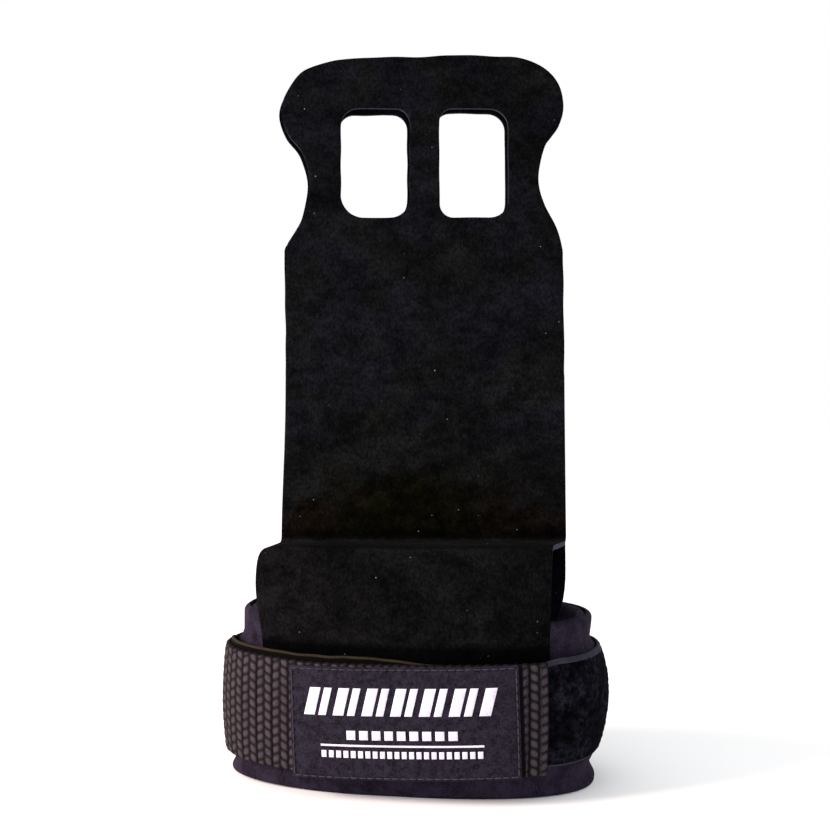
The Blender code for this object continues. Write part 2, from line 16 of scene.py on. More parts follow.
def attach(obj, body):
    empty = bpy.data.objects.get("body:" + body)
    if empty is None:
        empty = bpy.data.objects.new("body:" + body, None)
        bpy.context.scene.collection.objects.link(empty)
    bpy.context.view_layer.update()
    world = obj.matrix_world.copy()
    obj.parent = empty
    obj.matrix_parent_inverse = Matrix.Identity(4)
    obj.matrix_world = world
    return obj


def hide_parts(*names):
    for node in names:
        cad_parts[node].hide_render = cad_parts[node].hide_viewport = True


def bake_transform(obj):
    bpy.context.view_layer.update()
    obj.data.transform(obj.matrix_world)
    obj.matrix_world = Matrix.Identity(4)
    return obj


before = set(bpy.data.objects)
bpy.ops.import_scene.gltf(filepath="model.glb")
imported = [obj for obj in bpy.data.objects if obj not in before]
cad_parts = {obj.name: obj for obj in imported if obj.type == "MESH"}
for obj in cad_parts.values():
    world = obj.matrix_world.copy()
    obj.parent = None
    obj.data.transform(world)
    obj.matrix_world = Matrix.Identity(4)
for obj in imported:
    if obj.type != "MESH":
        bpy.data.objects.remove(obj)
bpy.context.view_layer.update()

MM = 0.001
SEED = 7
CUFF_CENTRE = np.array((-0.3, 2.95, 0.0))

# Cuff, as in the CAD model but for the foot, the swells and the rim. Pairs are left, right.
OVAL_POWER = 2.5
CUFF_HEIGHT = 56.5
CUFF_HALF_WIDTH = 59.4
CUFF_HALF_DEPTH = 32.7
RIM_SPREAD = 0.3
FOOT_SPREADS = (5.3, 3.2)
FOOT_SPREAD_Y = -0.4
FOOT_HEIGHTS = (13.0, 7.0)
RIM_SHIFT = 0.5
FOAM_THICKNESS = 4.0
FOAM_RIM_RADIUS = 1.2
FOAM_RISE = 0.3
SKIN_INSET = 0.8
SKIN_GAP = 0.08
SKIN_THICKNESS = 0.65
SKIN_CURL = 1.3
SKIN_SPAN = (0.7, CUFF_HEIGHT + 0.1)
SEAM_MARGIN = 1.6
SEAM_STEP = 2.6
SEAM_SWING = 2.0
SEAM_LIFT = 0.73
CUFF_SEGMENTS = 240
CUFF_SWAY = 0.35
FOOT_LIFT = 0.8
FOOT_LIFT_SPAN = (-15.0, -62.0)
FOOT_LIFT_HEIGHT = 12.0
SWELL_SPAN = (49.5, 55.5)
SWELLS = (1.9, 2.3)
RIM_RISE = 6.0
RIM_SLOPE = 0.013
RIM_SLOPE_RISE = 10.0

# Strap. Offsets are from its oval to a layer's inner face.
STRAP_BOTTOM = 8.0
STRAP_HEIGHT = 38.0
STRAP_TOP = STRAP_BOTTOM + STRAP_HEIGHT
STRAP_MIDDLE = (STRAP_BOTTOM + STRAP_TOP) / 2.0
STRAP_HALF_WIDTH = 60.0
STRAP_HALF_DEPTH = 33.0
CROWNS = (1.6, 3.9)
TOP_SPREAD_RIGHT = 1.8
STRAP_TILT_ARCS = (-140.0, -85.0, -66.0, -45.0, -28.0, 0.0, 32.0, 46.0)
STRAP_TILTS = (0.0, 0.4, 0.8, 0.2, -0.5, -0.2, 0.3, 0.5)
LOOP_OFFSETS = {"front": 2.9, "side": 0.2, "back": 0.9}
LOOP_OFFSET_SPANS = ((50.0, 70.0), (95.0, 125.0))
LOOP_THICKNESS = 1.5
LOOP_BOTTOM = 11.3
LOOP_DIP = 2.2
LOOP_SELVEDGE = 0.9
LOOP_STEP = 0.6
WEBBING_MARGIN = 0.8
LABEL_TURN = 0.0305
LABEL_DROP = -0.7
WEBBING_OFFSETS = {"front": 5.9, "side": 1.8, "back": 0.9}
WEBBING_OFFSET_SPANS = ((50.0, 84.0), (110.0, 140.0))
WEBBING_THICKNESS = 1.6
HOOK_INSET = 1.2
HOOK_THICKNESS = 0.9
HOOK_HIDDEN = -1.4
HOOK_SHOWN = 2.6
HOOK_SHOWN_FROM = (-79.0, -62.0)
HOOK_SHOWN_TO = (-12.0, 20.0)
LABEL_OFFSET = 7.45
LABEL_THICKNESS = 0.6
TAB_END_ARC = 45.6
LABEL_ARCS = (-32.8, 37.4)
LABEL_MARGIN = 0.9
LABEL_MIDDLE = (LABEL_ARCS[0] + LABEL_ARCS[1]) / 2.0
LABEL_HALF = ((LABEL_ARCS[1] - LABEL_ARCS[0]) / 2.0, STRAP_HEIGHT / 2.0 - LABEL_MARGIN)
LABEL_STITCH_INSET = 0.8
LOOP_ARCS = (-46.0, 136.0)
WEBBING_BACK_ARC = -164.0
ANCHOR_ARCS = (-158.0, -146.0)
TAB_STITCH_ARCS = (39.3, 43.3)
HOOK_BACK_ARC = -80.0

# Edges of the strap's layers: insets from the edge, and how far the face drops there.
WEBBING_EDGE = ((0.0, 0.12, 0.35, 0.7), (0.3, 0.16, 0.04, 0.0))
HOOK_EDGE = ((0.0, 0.006, 0.018), (0.25, 0.08, 0.0))
LOOP_EDGE = ((0.0, 0.15, 0.4, 0.65, 0.95), (0.45, 0.3, 0.22, 0.2, 0.0))
LABEL_EDGE = ((0.0, 0.1, 0.3, 0.9, 1.5), (0.2, 0.05, 0.0, 0.02, 0.08))

# Plain bars on the label, in four rows; the widths in a row take turns.
MARK_ROWS = (
    {"count": 13, "left": -30.6, "pitch": 4.5, "widths": (3.33, 2.34), "span": (2.6, 11.4), "slant": 0.25},
    {"count": 9, "left": -17.4, "pitch": 3.95, "widths": (2.7,), "span": (-5.1, -2.2), "slant": 0.0},
    {"count": 1, "left": -25.6, "pitch": 0.0, "widths": (50.2,), "span": (-7.3, -6.7), "slant": 0.0},
    {"count": 22, "left": -25.4, "pitch": 2.29, "widths": (1.5,), "span": (-10.9, -8.7), "slant": 0.0},
)
MARK_STEP = 1.2
MARK_LAYERS = ((0.45, 0.0), (0.68, 0.0), (0.76, 0.12))
MARK_GRAIN = 0.02

SHEEN_ROUGHNESS = 0.6

# Webbing weave.
RIB_PITCH = 2.75
PICK_PITCH = 3.03
WEAVE_DEPTH = 0.6
WEAVE_STEP = 0.42
PICK_SLANT = 0.4

# Leather guard, as in the CAD model: u runs across the pattern, s up it.
PLY_THICKNESS = 2.0
PLY_GAP = 0.3
CREASE = np.array((4.9, -7.65, 81.8))
GUARD_YAW = math.radians(10.2)
GUARD_LEAN = math.radians(6.8)
GUARD_HALF_WIDTH = 47.7
WINDOW_CENTRE = (17.1, 129.4)
WINDOW_SIZE = (23.8, 38.6)
WINDOW_RADII = {-1: (4.8, 5.6, 8.0, 6.6), 1: (6.4, 4.2, 4.8, 6.6)}
BACK_WINDOW_DROPS = {-1: 0.7, 1: 0.0}
BACK_PLY_SHIFT = (-0.9, -0.9)
SHIFT_SPAN = 45.0
SPLIT_S = 55.0
PATH_LEVELS = (SPLIT_S, 42.0, 30.0, 18.0, 8.0)
FRONT_BENDS = (4.0, 4.0, 4.0, 3.0, 2.6, 5.0, 6.0, 6.0)
BACK_BENDS = (4.0, 4.0, 4.0, 3.0, 9.0, 9.0)
SHELF_DROP = 1.9
FOLD_TOP = 80.9
FOLD_FRONT = -38.2
FOLD_SIDE_RETREAT = 8.8
FOLD_YAW = math.radians(6.5)
FOLD_CENTRE_X = 0.8
FOLD_CORNER_IN = 0.8
FOLD_CORNER_DROP = 1.6
FLARE_LEFT = 1.1
FLARE_TOP = 45.0
FRONT_BELLY_LEFT = 1.9
FRONT_BELLY_SHARE = 0.36
FRONT_PLY_HALF_WIDTH = 47.9
FRONT_PLY_OFFSET = 0.1
FRONT_SWAY = 0.35
FRONT_SWAY_RISE = 9.0
FRONT_SWAY_SPAN = (-12.0, -18.0)
PLY_STEP_ACROSS = 1.4
PLY_STEP_ALONG = 1.3
STRAP_TOP_CLEAR = 47.5
LEATHER_FOOT = 12.0
TAIL_TURN_S = -20.0
TAIL_WALL_TOP = 42.0
TAIL_ARC_CENTRE = 3.0
TAIL_ARC_SCALE = 0.93
TAIL_WALL_GAP = 0.4
ANCHOR_ROW_HEIGHTS = (17.0, 30.0)
# Zone of painted shade above the crease, tinted olive: its half width, where it starts to fade and where it
# is full; and where the less violet tint above it begins.
OLIVE_SHADE_HALF_WIDTH = 40.0
OLIVE_SHADE_TOP = 110.0
OLIVE_SHADE_FULL = 92.0
HALO_TOP = 132.0
CUT_INSETS = (0.0, 0.1, 0.28, 0.6)
CUT_DROPS = (0.42, 0.2, 0.06, 0.0)
CUT_STEP = 1.1
CUT_WANDER = 0.13
NET_STEP = 1.5
NET_HALF_WIDTH = 50.0
NET_TOP = 168.0
NET_CLEAR = 1.3

# Stitches: length, gap between two, radius of the thread and how far it stands proud.
STITCH = {"length": 2.2, "gap": 0.5, "radius": 0.22, "proud": 0.34}
ANCHOR_STITCH = {"length": 3.0, "gap": 0.6, "radius": 0.28, "proud": 0.42}
LABEL_STITCH = {"gap": 0.45}
TAB_STITCH = {"length": 1.5, "gap": 0.45}
SEAM_STITCH = {"length": 4.6, "gap": 0.2}

# Camera, as seen from the front, a little from the right.
VIEW_AZIMUTH = math.radians(9.17)
VIEW_PITCH = math.radians(1.83)
VIEW_HEIGHT = 0.13836
VIEW_DISTANCE = 0.47894
LENS = 60.51
SENSOR = 36.0


# ------------------------------------------------------------------ curves


def unit(vectors):
    return vectors / np.linalg.norm(vectors, axis=-1, keepdims=True)


def smoothstep(low, high, value):
    t = np.clip((value - low) / (high - low), 0.0, 1.0)
    return t * t * (3.0 - 2.0 * t)


def signed_power(value, power):
    return np.sign(value) * np.abs(value) ** power


def oval_points(half_width, half_depth, angle):
    """Points of a rounded oval; angle 0 is the front centre, turning to +X."""
    power = 2.0 / OVAL_POWER
    x = half_width * signed_power(np.sin(angle), power)
    y = -half_depth * signed_power(np.cos(angle), power)
    return np.stack([x, y, np.zeros_like(x)], axis=-1)


def oval_normals(half_width, half_depth, points):
    power = OVAL_POWER - 1.0
    nx = signed_power(points[..., 0] / half_width, power) / half_width
    ny = signed_power(points[..., 1] / half_depth, power) / half_depth
    return unit(np.stack([nx, ny, np.zeros_like(nx)], axis=-1))


def arc_lengths(points):
    """How far along a run of points each of them lies."""
    steps = np.linalg.norm(np.diff(points, axis=0), axis=1)
    return np.concatenate([[0.0], np.cumsum(steps)])


def sampled(places, arcs, values):
    """Values known at some arc lengths, at other places along the run."""
    return np.stack([np.interp(places, arcs, column) for column in values.T], axis=1)


class Oval:
    """An oval measured by arc length from its front centre, +X positive."""

    def __init__(self, half_width, half_depth):
        self.half_width = half_width
        self.half_depth = half_depth
        self.angles = np.linspace(-np.pi, np.pi, 3601)
        arcs = arc_lengths(oval_points(half_width, half_depth, self.angles))
        self.length = arcs[-1]
        self.arcs = arcs - self.length / 2.0

    def frame_at(self, arc):
        half = self.length / 2.0
        wrapped = (np.asarray(arc, float) + half) % self.length - half
        angles = np.interp(wrapped, self.arcs, self.angles)
        points = oval_points(self.half_width, self.half_depth, angles)
        return points, oval_normals(self.half_width, self.half_depth, points)

    def at(self, arc, offset=0.0, z=0.0):
        arc, offset, z = np.broadcast_arrays(*(np.asarray(v, float) for v in (arc, offset, z)))
        points, normals = self.frame_at(arc)
        placed = points + normals * offset[..., None]
        placed[..., 2] = z
        return placed


STRAP = Oval(STRAP_HALF_WIDTH, STRAP_HALF_DEPTH)
TAIL_INSET = FOAM_THICKNESS + 2.0 * SKIN_INSET + TAIL_WALL_GAP
TAIL = Oval(CUFF_HALF_WIDTH - TAIL_INSET, CUFF_HALF_DEPTH - TAIL_INSET)


def crown(arc, z):
    """How far the strap bellies out at the cuff's two sides."""
    x = STRAP.frame_at(arc)[0][..., 0]
    q = (z - STRAP_BOTTOM) / STRAP_HEIGHT * 2.0 - 1.0
    height = np.where(x > 0.0, CROWNS[1], CROWNS[0])
    spread = np.where(x > 0.0, TOP_SPREAD_RIGHT, 0.0)
    profile = height * (1.0 - q * q) + spread * (1.0 + q) / 2.0
    return profile * (np.abs(x) / STRAP_HALF_WIDTH) ** 4


def layer_offset(run, offsets, side_span, back_span):
    """Offset of a strap layer that changes twice on its way from front to back."""
    offset = offsets["front"] + (offsets["side"] - offsets["front"]) * smoothstep(*side_span, run)
    return offset + (offsets["back"] - offsets["side"]) * smoothstep(*back_span, run)


def loop_offset(arc):
    return layer_offset(arc, LOOP_OFFSETS, *LOOP_OFFSET_SPANS)


def webbing_offset(arc):
    return layer_offset(-arc, WEBBING_OFFSETS, *WEBBING_OFFSET_SPANS)


def strap_at(arc, z, offset):
    return STRAP.at(arc, offset + crown(arc, z), z)


def strap_tilt(arc):
    """How far the closed tab lies above its level course."""
    return np.interp(arc, STRAP_TILT_ARCS, STRAP_TILTS)


# Unit vectors across the guard, up it, and from its front face to its back.
ACROSS = np.array((math.cos(GUARD_YAW), math.sin(GUARD_YAW), 0.0))
LEVEL = np.array((-math.sin(GUARD_YAW), math.cos(GUARD_YAW), 0.0))
UPRIGHT = np.array((0.0, 0.0, 1.0))
UP = LEVEL * math.sin(GUARD_LEAN) + UPRIGHT * math.cos(GUARD_LEAN)
BACK = LEVEL * math.cos(GUARD_LEAN) - UPRIGHT * math.sin(GUARD_LEAN)


def leather_wave(u, s):
    """Gentle unevenness of the leather, the same for both plies."""
    long_wave = 0.35 * np.sin(u * 0.055 + 0.9) * np.sin(s * 0.034 + 0.4)
    short_wave = 0.16 * np.sin(u * 0.13 - s * 0.05 + 2.0) + 0.12 * np.sin(s * 0.16 + u * 0.04)
    return (long_wave + short_wave) * smoothstep(4.0, 30.0, s)


def guard_at(u, s, depth):
    u, s, depth = np.broadcast_arrays(*(np.asarray(v, float) for v in (u, s, depth)))
    depth = depth + leather_wave(u, s)
    return CREASE + u[..., None] * ACROSS + s[..., None] * UP + depth[..., None] * BACK


# ------------------------------------------------------------- mesh makers


def add_mesh(name, verts, faces, materials, slots=None, smooth_angle=40.0):
    """Object from cuff-centred millimetres; slots gives each face's material."""
    mesh = bpy.data.meshes.new(name)
    placed = (np.asarray(verts, float).reshape(-1, 3) + CUFF_CENTRE) * MM
    mesh.from_pydata(placed.tolist(), [], faces)
    for material in materials:
        mesh.materials.append(material)
    if slots is not None:
        mesh.polygons.foreach_set("material_index", np.asarray(slots, np.int32))
    mesh.shade_smooth()
    mesh.set_sharp_from_angle(angle=math.radians(smooth_angle))
    mesh.update()
    obj = bpy.data.objects.new(name, mesh)
    bpy.context.scene.collection.objects.link(obj)
    return obj


def ring_faces(rows, count, closed):
    """Quads between rings of count points; closed joins the last ring to the first."""
    i = np.arange(rows if closed else rows - 1)[:, None]
    k = np.arange(count)[None, :]
    ahead = (i + 1) % rows
    turn = (k + 1) % count
    corners = [i * count + k, ahead * count + k, ahead * count + turn, i * count + turn]
    return np.stack(corners, axis=-1).reshape(-1, 4).tolist()


def loft(name, rings, materials, ring_slots=None, closed=False, smooth_angle=40.0, cap_slot=0):
    """Solid through rings shaped (rows, count, 3); ring_slots is one slot per side."""
    rings = np.asarray(rings, float)
    rows, count = rings.shape[:2]
    faces = ring_faces(rows, count, closed)
    slots = None
    if ring_slots is not None:
        slots = list(ring_slots) * (rows if closed else rows - 1)
    if not closed:
        half = count // 2
        for start, flip in ((0, False), ((rows - 1) * count, True)):
            for k in range(half - 1):
                cap = [start + k, start + k + 1, start + count - 2 - k, start + count - 1 - k]
                faces.append(cap[::-1] if flip else cap)
            if slots is not None:
                slots += [cap_slot] * (half - 1)
    return add_mesh(name, rings, faces, materials, slots, smooth_angle)


def band_section(low, high, thickness, insets, drops, step, edge_rows=2):
    """Closed outline of a flat band: positions across it, depths, and edge flags.

    The outer face runs from low to high, then the inner face runs back. Near an
    edge the band thins by the drops at those insets, which rounds its corners.
    """
    inner_low = low + insets[-1]
    inner_high = high - insets[-1]
    count = max(2, round((inner_high - inner_low) / step))
    middle = np.linspace(inner_low, inner_high, count + 1)
    left = low + np.array(insets[:-1])
    right = high - np.array(insets[:-1])[::-1]
    across = np.concatenate([left, middle, right])
    drop = np.interp(np.minimum(across - low, high - across), insets, drops)
    half = thickness / 2.0 - drop
    side = half[0] * np.linspace(1.0, -1.0, edge_rows + 2)[1:-1]
    position = np.concatenate([across, np.full(edge_rows, high), across[::-1], np.full(edge_rows, low)])
    depth = np.concatenate([half, side, -half[::-1], -side])
    roll = edge_rows // 2
    position = np.roll(position, roll)
    depth = np.roll(depth, roll)
    lower = np.minimum(position, np.roll(position, -1))
    upper = np.maximum(position, np.roll(position, -1))
    edge = (lower < low + 0.05) & (upper < low + insets[1] + 0.02)
    edge |= (upper > high - 0.05) & (lower > high - insets[1] - 0.02)
    return position, depth, edge


def spaced(start, end, step):
    count = max(1, round(abs(end - start) / step))
    return np.linspace(start, end, count + 1)


def grid_normals(grid):
    """Unit normals of a grid of points shaped (rows, columns, 3)."""
    along = np.gradient(grid, axis=0)
    across = np.gradient(grid, axis=1)
    return unit(np.cross(across, along))


def ripple(*coordinates, seed):
    """Smooth unevenness between about -1 and 1, from a few seeded waves."""
    draw = np.random.default_rng(seed)
    total = 0.0
    for _ in range(5):
        phase = draw.uniform(0.0, 2.0 * math.pi)
        weights = draw.uniform(-1.0, 1.0, len(coordinates))
        total = total + np.sin(sum(w * c for w, c in zip(weights, coordinates)) + phase)
    return total / 3.0


# --------------------------------------------------------------- materials


class Look:
    """A Principled material being put together, with scales in millimetres."""

    def __init__(self, name, roughness, specular, sheen=0.0, sheen_tint=(1.0, 1.0, 1.0)):
        self.material = bpy.data.materials.new(name)
        self.material.use_nodes = True
        self.tree = self.material.node_tree
        self.shader = self.tree.nodes["Principled BSDF"]
        self.set("Roughness", roughness)
        self.set("Specular IOR Level", specular)
        self.set("Sheen Weight", sheen)
        self.set("Sheen Roughness", SHEEN_ROUGHNESS)
        self.set("Sheen Tint", sheen_tint)
        self.place = self.scaled(self.node("ShaderNodeTexCoord", {})["Object"], 1.0 / MM)

    def feed(self, socket, value):
        """Link an output to a socket, or give the socket a number or a colour."""
        if isinstance(value, bpy.types.NodeSocket):
            self.tree.links.new(value, socket)
        elif socket.type == "RGBA":
            socket.default_value = (*value, 1.0)
        else:
            socket.default_value = value

    def set(self, name, value):
        """Give the shader's input of that name an output, a number or a colour."""
        self.feed(self.shader.inputs[name], value)

    def node(self, kind, inputs, **settings):
        """Outputs of a new node; inputs are fed by name or number."""
        made = self.tree.nodes.new(kind)
        for setting, value in settings.items():
            setattr(made, setting, value)
        for key, value in inputs.items():
            self.feed(made.inputs[key], value)
        return made.outputs

    def noise(self, size, detail=3.0, roughness=0.55, stretch=(1.0, 1.0, 1.0)):
        """Noise whose blobs are about size millimetres across."""
        scale = tuple(1.0 / (size * s) for s in stretch)
        place = self.node("ShaderNodeMapping", {"Vector": self.place, "Scale": scale})["Vector"]
        inputs = {"Vector": place, "Scale": 1.0, "Detail": detail, "Roughness": roughness}
        return self.node("ShaderNodeTexNoise", inputs)["Fac"]

    def cells(self, size, randomness=1.0):
        """Distance and colour of cells about size millimetres across."""
        inputs = {"Vector": self.place, "Scale": 1.0 / size, "Randomness": randomness}
        return self.node("ShaderNodeTexVoronoi", inputs)

    def math(self, operation, *values, clamp=False):
        inputs = dict(enumerate(values))
        return self.node("ShaderNodeMath", inputs, operation=operation, use_clamp=clamp)["Value"]

    def product(self, first, *others):
        for other in others:
            first = self.math("MULTIPLY", first, other)
        return first

    def span(self, value, low, high, to_low=0.0, to_high=1.0):
        """Value mapped from low..high to to_low..to_high, smoothly and clamped."""
        inputs = {"Value": value, "From Min": low, "From Max": high, "To Min": to_low, "To Max": to_high}
        return self.node("ShaderNodeMapRange", inputs, interpolation_type="SMOOTHSTEP")["Result"]

    def axis(self, name):
        return self.node("ShaderNodeSeparateXYZ", {"Vector": self.place})[name]

    def mix(self, factor, first, second):
        """Mix of two colours, each a triple or an output."""
        return self.node("ShaderNodeMix", {0: factor, 6: first, 7: second}, data_type="RGBA")[2]

    def scaled(self, colour, factor):
        """A colour or vector times a number."""
        return self.node("ShaderNodeVectorMath", {0: colour, "Scale": factor}, operation="SCALE")["Vector"]

    def finish(self, colour, *bumps):
        """The material with its colour and bumps: height, depth in millimetres, strength."""
        self.set("Base Color", colour)
        below = {}
        for height, depth, strength in bumps:
            inputs = {"Height": height, "Distance": depth * MM, "Strength": strength, **below}
            below = {"Normal": self.node("ShaderNodeBump", inputs)["Normal"]}
        self.set("Normal", below["Normal"])
        return self.material


def suede(name, violet, olive, crease_shaded):
    """Black suede: mottled nap, violet and olive patches and specks of lint."""
    look = Look(name, roughness=0.95, specular=0.01, sheen=0.002, sheen_tint=(0.85, 0.85, 1.0))
    hue = look.span(look.noise(16.0, detail=3.0, roughness=0.5), 0.36, 0.66)
    colour = look.mix(hue, violet, olive)
    patches = look.span(look.noise(24.0, detail=3.0), 0.34, 0.66, 0.8, 1.18)
    mottle = look.noise(8.0, detail=4.0, roughness=0.85, stretch=(1.25, 1.0, 0.9))
    clouds = look.span(mottle, 0.3, 0.72, 0.42, 1.62)
    nap = look.noise(0.9, detail=2.0, roughness=0.5, stretch=(0.8, 0.8, 1.25))
    fibre = look.span(nap, 0.3, 0.72, 0.6, 1.45)
    shade = look.product(patches, clouds, fibre)
    lint_share = 0.0
    # The front suede also gets painted shade near the fold, under the strap and on the front ply.
    if crease_shaded:
        colour, shade, lint_share = crease_shading(look, colour, shade)
    lint = look.cells(2.2)
    close = look.span(lint["Distance"], 0.04, 0.13, 1.0, 0.0)
    draw = look.node("ShaderNodeSeparateColor", {"Color": lint["Color"]})["Red"]
    chosen = look.span(look.math("ADD", draw, lint_share), 0.90, 0.995)
    speck = look.product(close, look.product(chosen, chosen))
    colour = look.mix(speck, look.scaled(colour, shade), (0.20, 0.195, 0.20))
    return look.finish(colour, (mottle, 0.35, 0.6), (nap, 0.14, 0.9))


def crease_shading(look, colour, shade):
    """Painted shade near the fold: an olive-tinted dark zone above the crease, a dark line at the crease,
    shade where the leather tucks under the strap and a darker, greyer front ply; also a less violet tint
    above the zone, more lint in it, and a head darker towards its top.
    """
    z = look.axis("Z")
    x = look.product(look.axis("X"), 1.0 / OLIVE_SHADE_HALF_WIDTH)
    sideways = look.product(x, x)
    uneven = look.span(look.noise(9.0), 0.3, 0.7, -6.0, 6.0)
    height = look.math("ADD", look.math("ADD", z, uneven), look.product(sideways, 11.0))
    # Painted shade: a zone above the crease, where the fold shades the panel, tinted olive and darkened in
    # blots; it fades out upwards and towards the sides.
    olive_shade = look.product(look.span(height, OLIVE_SHADE_TOP, OLIVE_SHADE_FULL), look.span(z, 81.0, 83.0))
    halo = look.span(height, HALO_TOP, OLIVE_SHADE_TOP, 0.0, 0.7)
    colour = look.mix(halo, colour, (0.0036, 0.0037, 0.0032))
    ruddy = look.math("MULTIPLY_ADD", sideways, 0.3, look.noise(10.0))
    tint = look.mix(look.span(ruddy, 0.5, 0.68), (0.0031, 0.0031, 0.0009), (0.0052, 0.0034, 0.0023))
    colour = look.mix(olive_shade, colour, tint)
    # Painted shade: blots that darken the zone above the crease.
    shade_blots = look.span(look.noise(8.0, detail=4.0, roughness=0.7), 0.34, 0.66, 0.25, 0.85)
    # Painted shade: a dark line just above the crease, where the fold shades the panel; the shelf below is
    # left as it is.
    shelf = look.span(z, 81.2, 81.8, 1.0, 0.0)
    crease = look.math("MAXIMUM", shelf, look.span(z, 83.0, 86.0, 0.5, 1.0))
    # Painted shade where the leather goes down under the strap.
    tuck = look.span(z, 48.5, 52.0, 0.22, 1.0)
    # Darker towards the top of the head.
    head = look.span(z, 150.0, 205.0, 1.0, 0.86)
    shade = look.product(shade, look.mix(olive_shade, (1.0, 1.0, 1.0), shade_blots), crease, tuck, head)
    # Painted shade: the front ply's upright face made darker and greyer.
    front = look.span(z, 79.5, 81.5, 0.6, 0.0)
    colour = look.mix(front, colour, (0.0029, 0.0027, 0.0030))
    return colour, shade, look.span(olive_shade, 0.0, 1.0, 0.0, 0.05)


def cut_leather(name, colour):
    """Raw edge of the leather: paler fibres in short streaks."""
    look = Look(name, roughness=0.95, specular=0.03, sheen=0.004)
    fibres = look.noise(0.5, detail=4.0, roughness=0.7, stretch=(0.5, 0.5, 2.0))
    dark = tuple(c * 0.45 for c in colour)
    return look.finish(look.mix(look.span(fibres, 0.3, 0.7), dark, colour), (fibres, 0.12, 0.7))


def knit(name, dark, light):
    """Fine jersey facing: rows of small loops, slightly pilled."""
    look = Look(name, roughness=0.95, specular=0.03, sheen=0.004, sheen_tint=(1.0, 0.9, 1.0))
    loops = look.span(look.cells(0.55, randomness=0.35)["Distance"], 0.1, 0.62, 1.0, 0.0)
    patches = look.noise(6.0, detail=4.0)
    fuzz = look.noise(0.9, detail=4.0, roughness=0.7)
    tone = look.math("MULTIPLY_ADD", look.span(patches, 0.35, 0.65), 0.4, look.product(loops, 0.35))
    tone = look.math("ADD", tone, look.span(fuzz, 0.35, 0.7, 0.0, 0.3), clamp=True)
    return look.finish(look.mix(tone, dark, light), (patches, 0.3, 0.35), (loops, 0.1, 0.7))


def foam(name, dark, light):
    """Closed-cell neoprene, seen at the cut rims."""
    look = Look(name, roughness=0.9, specular=0.05)
    pores = look.span(look.cells(0.45)["Distance"], 0.15, 0.5, 0.0, 1.0)
    tone = look.product(pores, look.span(look.noise(2.5), 0.3, 0.7, 0.6, 1.0))
    return look.finish(look.mix(tone, dark, light), (pores, 0.12, 0.6))


def yarn(name, dark, light, strand=0.28, sheen=0.005, specular=0.04):
    """Twisted or woven yarn whose colour follows its fine strands."""
    look = Look(name, roughness=0.72, specular=specular, sheen=sheen)
    strands = look.noise(strand, detail=2.0, roughness=0.6, stretch=(0.8, 0.8, 2.2))
    patches = look.noise(5.0, detail=3.0)
    worn = look.span(patches, 0.3, 0.7, 0.0, 0.4)
    tone = look.math("MULTIPLY_ADD", look.span(strands, 0.3, 0.7), 0.6, worn)
    look.set("Roughness", look.span(patches, 0.3, 0.7, 0.62, 0.85))
    return look.finish(look.mix(tone, dark, light), (strands, 0.08, 0.7))


def webbing_yarn(name):
    """Webbing: painted highlights on the crowns of the picks, painted shade in the wells between the ribs.
    """
    look = Look(name, roughness=0.75, specular=0.03, sheen=0.004, sheen_tint=(1.0, 0.85, 0.9))
    crown_lighting = look.node("ShaderNodeAttribute", {}, attribute_name="crown")["Fac"]
    strands = look.noise(0.3, detail=2.0, roughness=0.6, stretch=(0.7, 0.7, 1.0))
    patches = look.span(look.noise(7.0, detail=3.0), 0.3, 0.7)
    # Painted highlight: the crowns of the picks get a light colour, brightest along the strands.
    lit_tops = look.mix(patches, (0.0200, 0.0155, 0.0180), (0.0350, 0.0275, 0.0310))
    lit_tops = look.mix(look.span(strands, 0.35, 0.75), lit_tops, (0.066, 0.053, 0.061))
    # Painted shade: the lower the crown value, the darker the webbing, darkest in the wells between the
    # ribs.
    wells = look.span(crown_lighting, 0.2, 0.75)
    body = look.mix(wells, (0.0022, 0.0017, 0.0022), (0.0120, 0.0092, 0.0110))
    return look.finish(look.mix(look.span(crown_lighting, 0.6, 0.98), body, lit_tops), (strands, 0.07, 0.6))


def velour(name, dark, light):
    """Brushed loop pile: matt, with clumped fibres and hollows."""
    look = Look(name, roughness=1.0, specular=0.0, sheen=0.008, sheen_tint=(0.9, 0.85, 1.0))
    clumps = look.noise(2.4, detail=4.0, roughness=0.7)
    patches = look.span(look.noise(8.0, detail=3.0), 0.36, 0.66, 0.2, 1.0)
    tone = look.product(look.span(clumps, 0.36, 0.74), patches)
    return look.finish(look.mix(tone, dark, light), (clumps, 0.45, 0.8))


def woven_label(name, dark, light):
    """Damask ground of the label: very fine crossed threads."""
    look = Look(name, roughness=0.7, specular=0.04, sheen=0.004, sheen_tint=(0.9, 0.9, 1.0))
    warp = look.noise(0.9, detail=2.0, stretch=(1.0, 1.0, 0.45))
    weft = look.noise(0.9, detail=2.0, stretch=(0.4, 1.0, 1.0))
    threads = look.math("MULTIPLY_ADD", warp, 0.5, look.product(weft, 0.5))
    worn = look.span(look.noise(2.2, detail=3.0), 0.3, 0.7, 0.0, 0.45)
    tone = look.math("MULTIPLY_ADD", look.span(threads, 0.36, 0.64), 0.55, worn)
    return look.finish(look.mix(tone, dark, light), (threads, 0.09, 0.7))


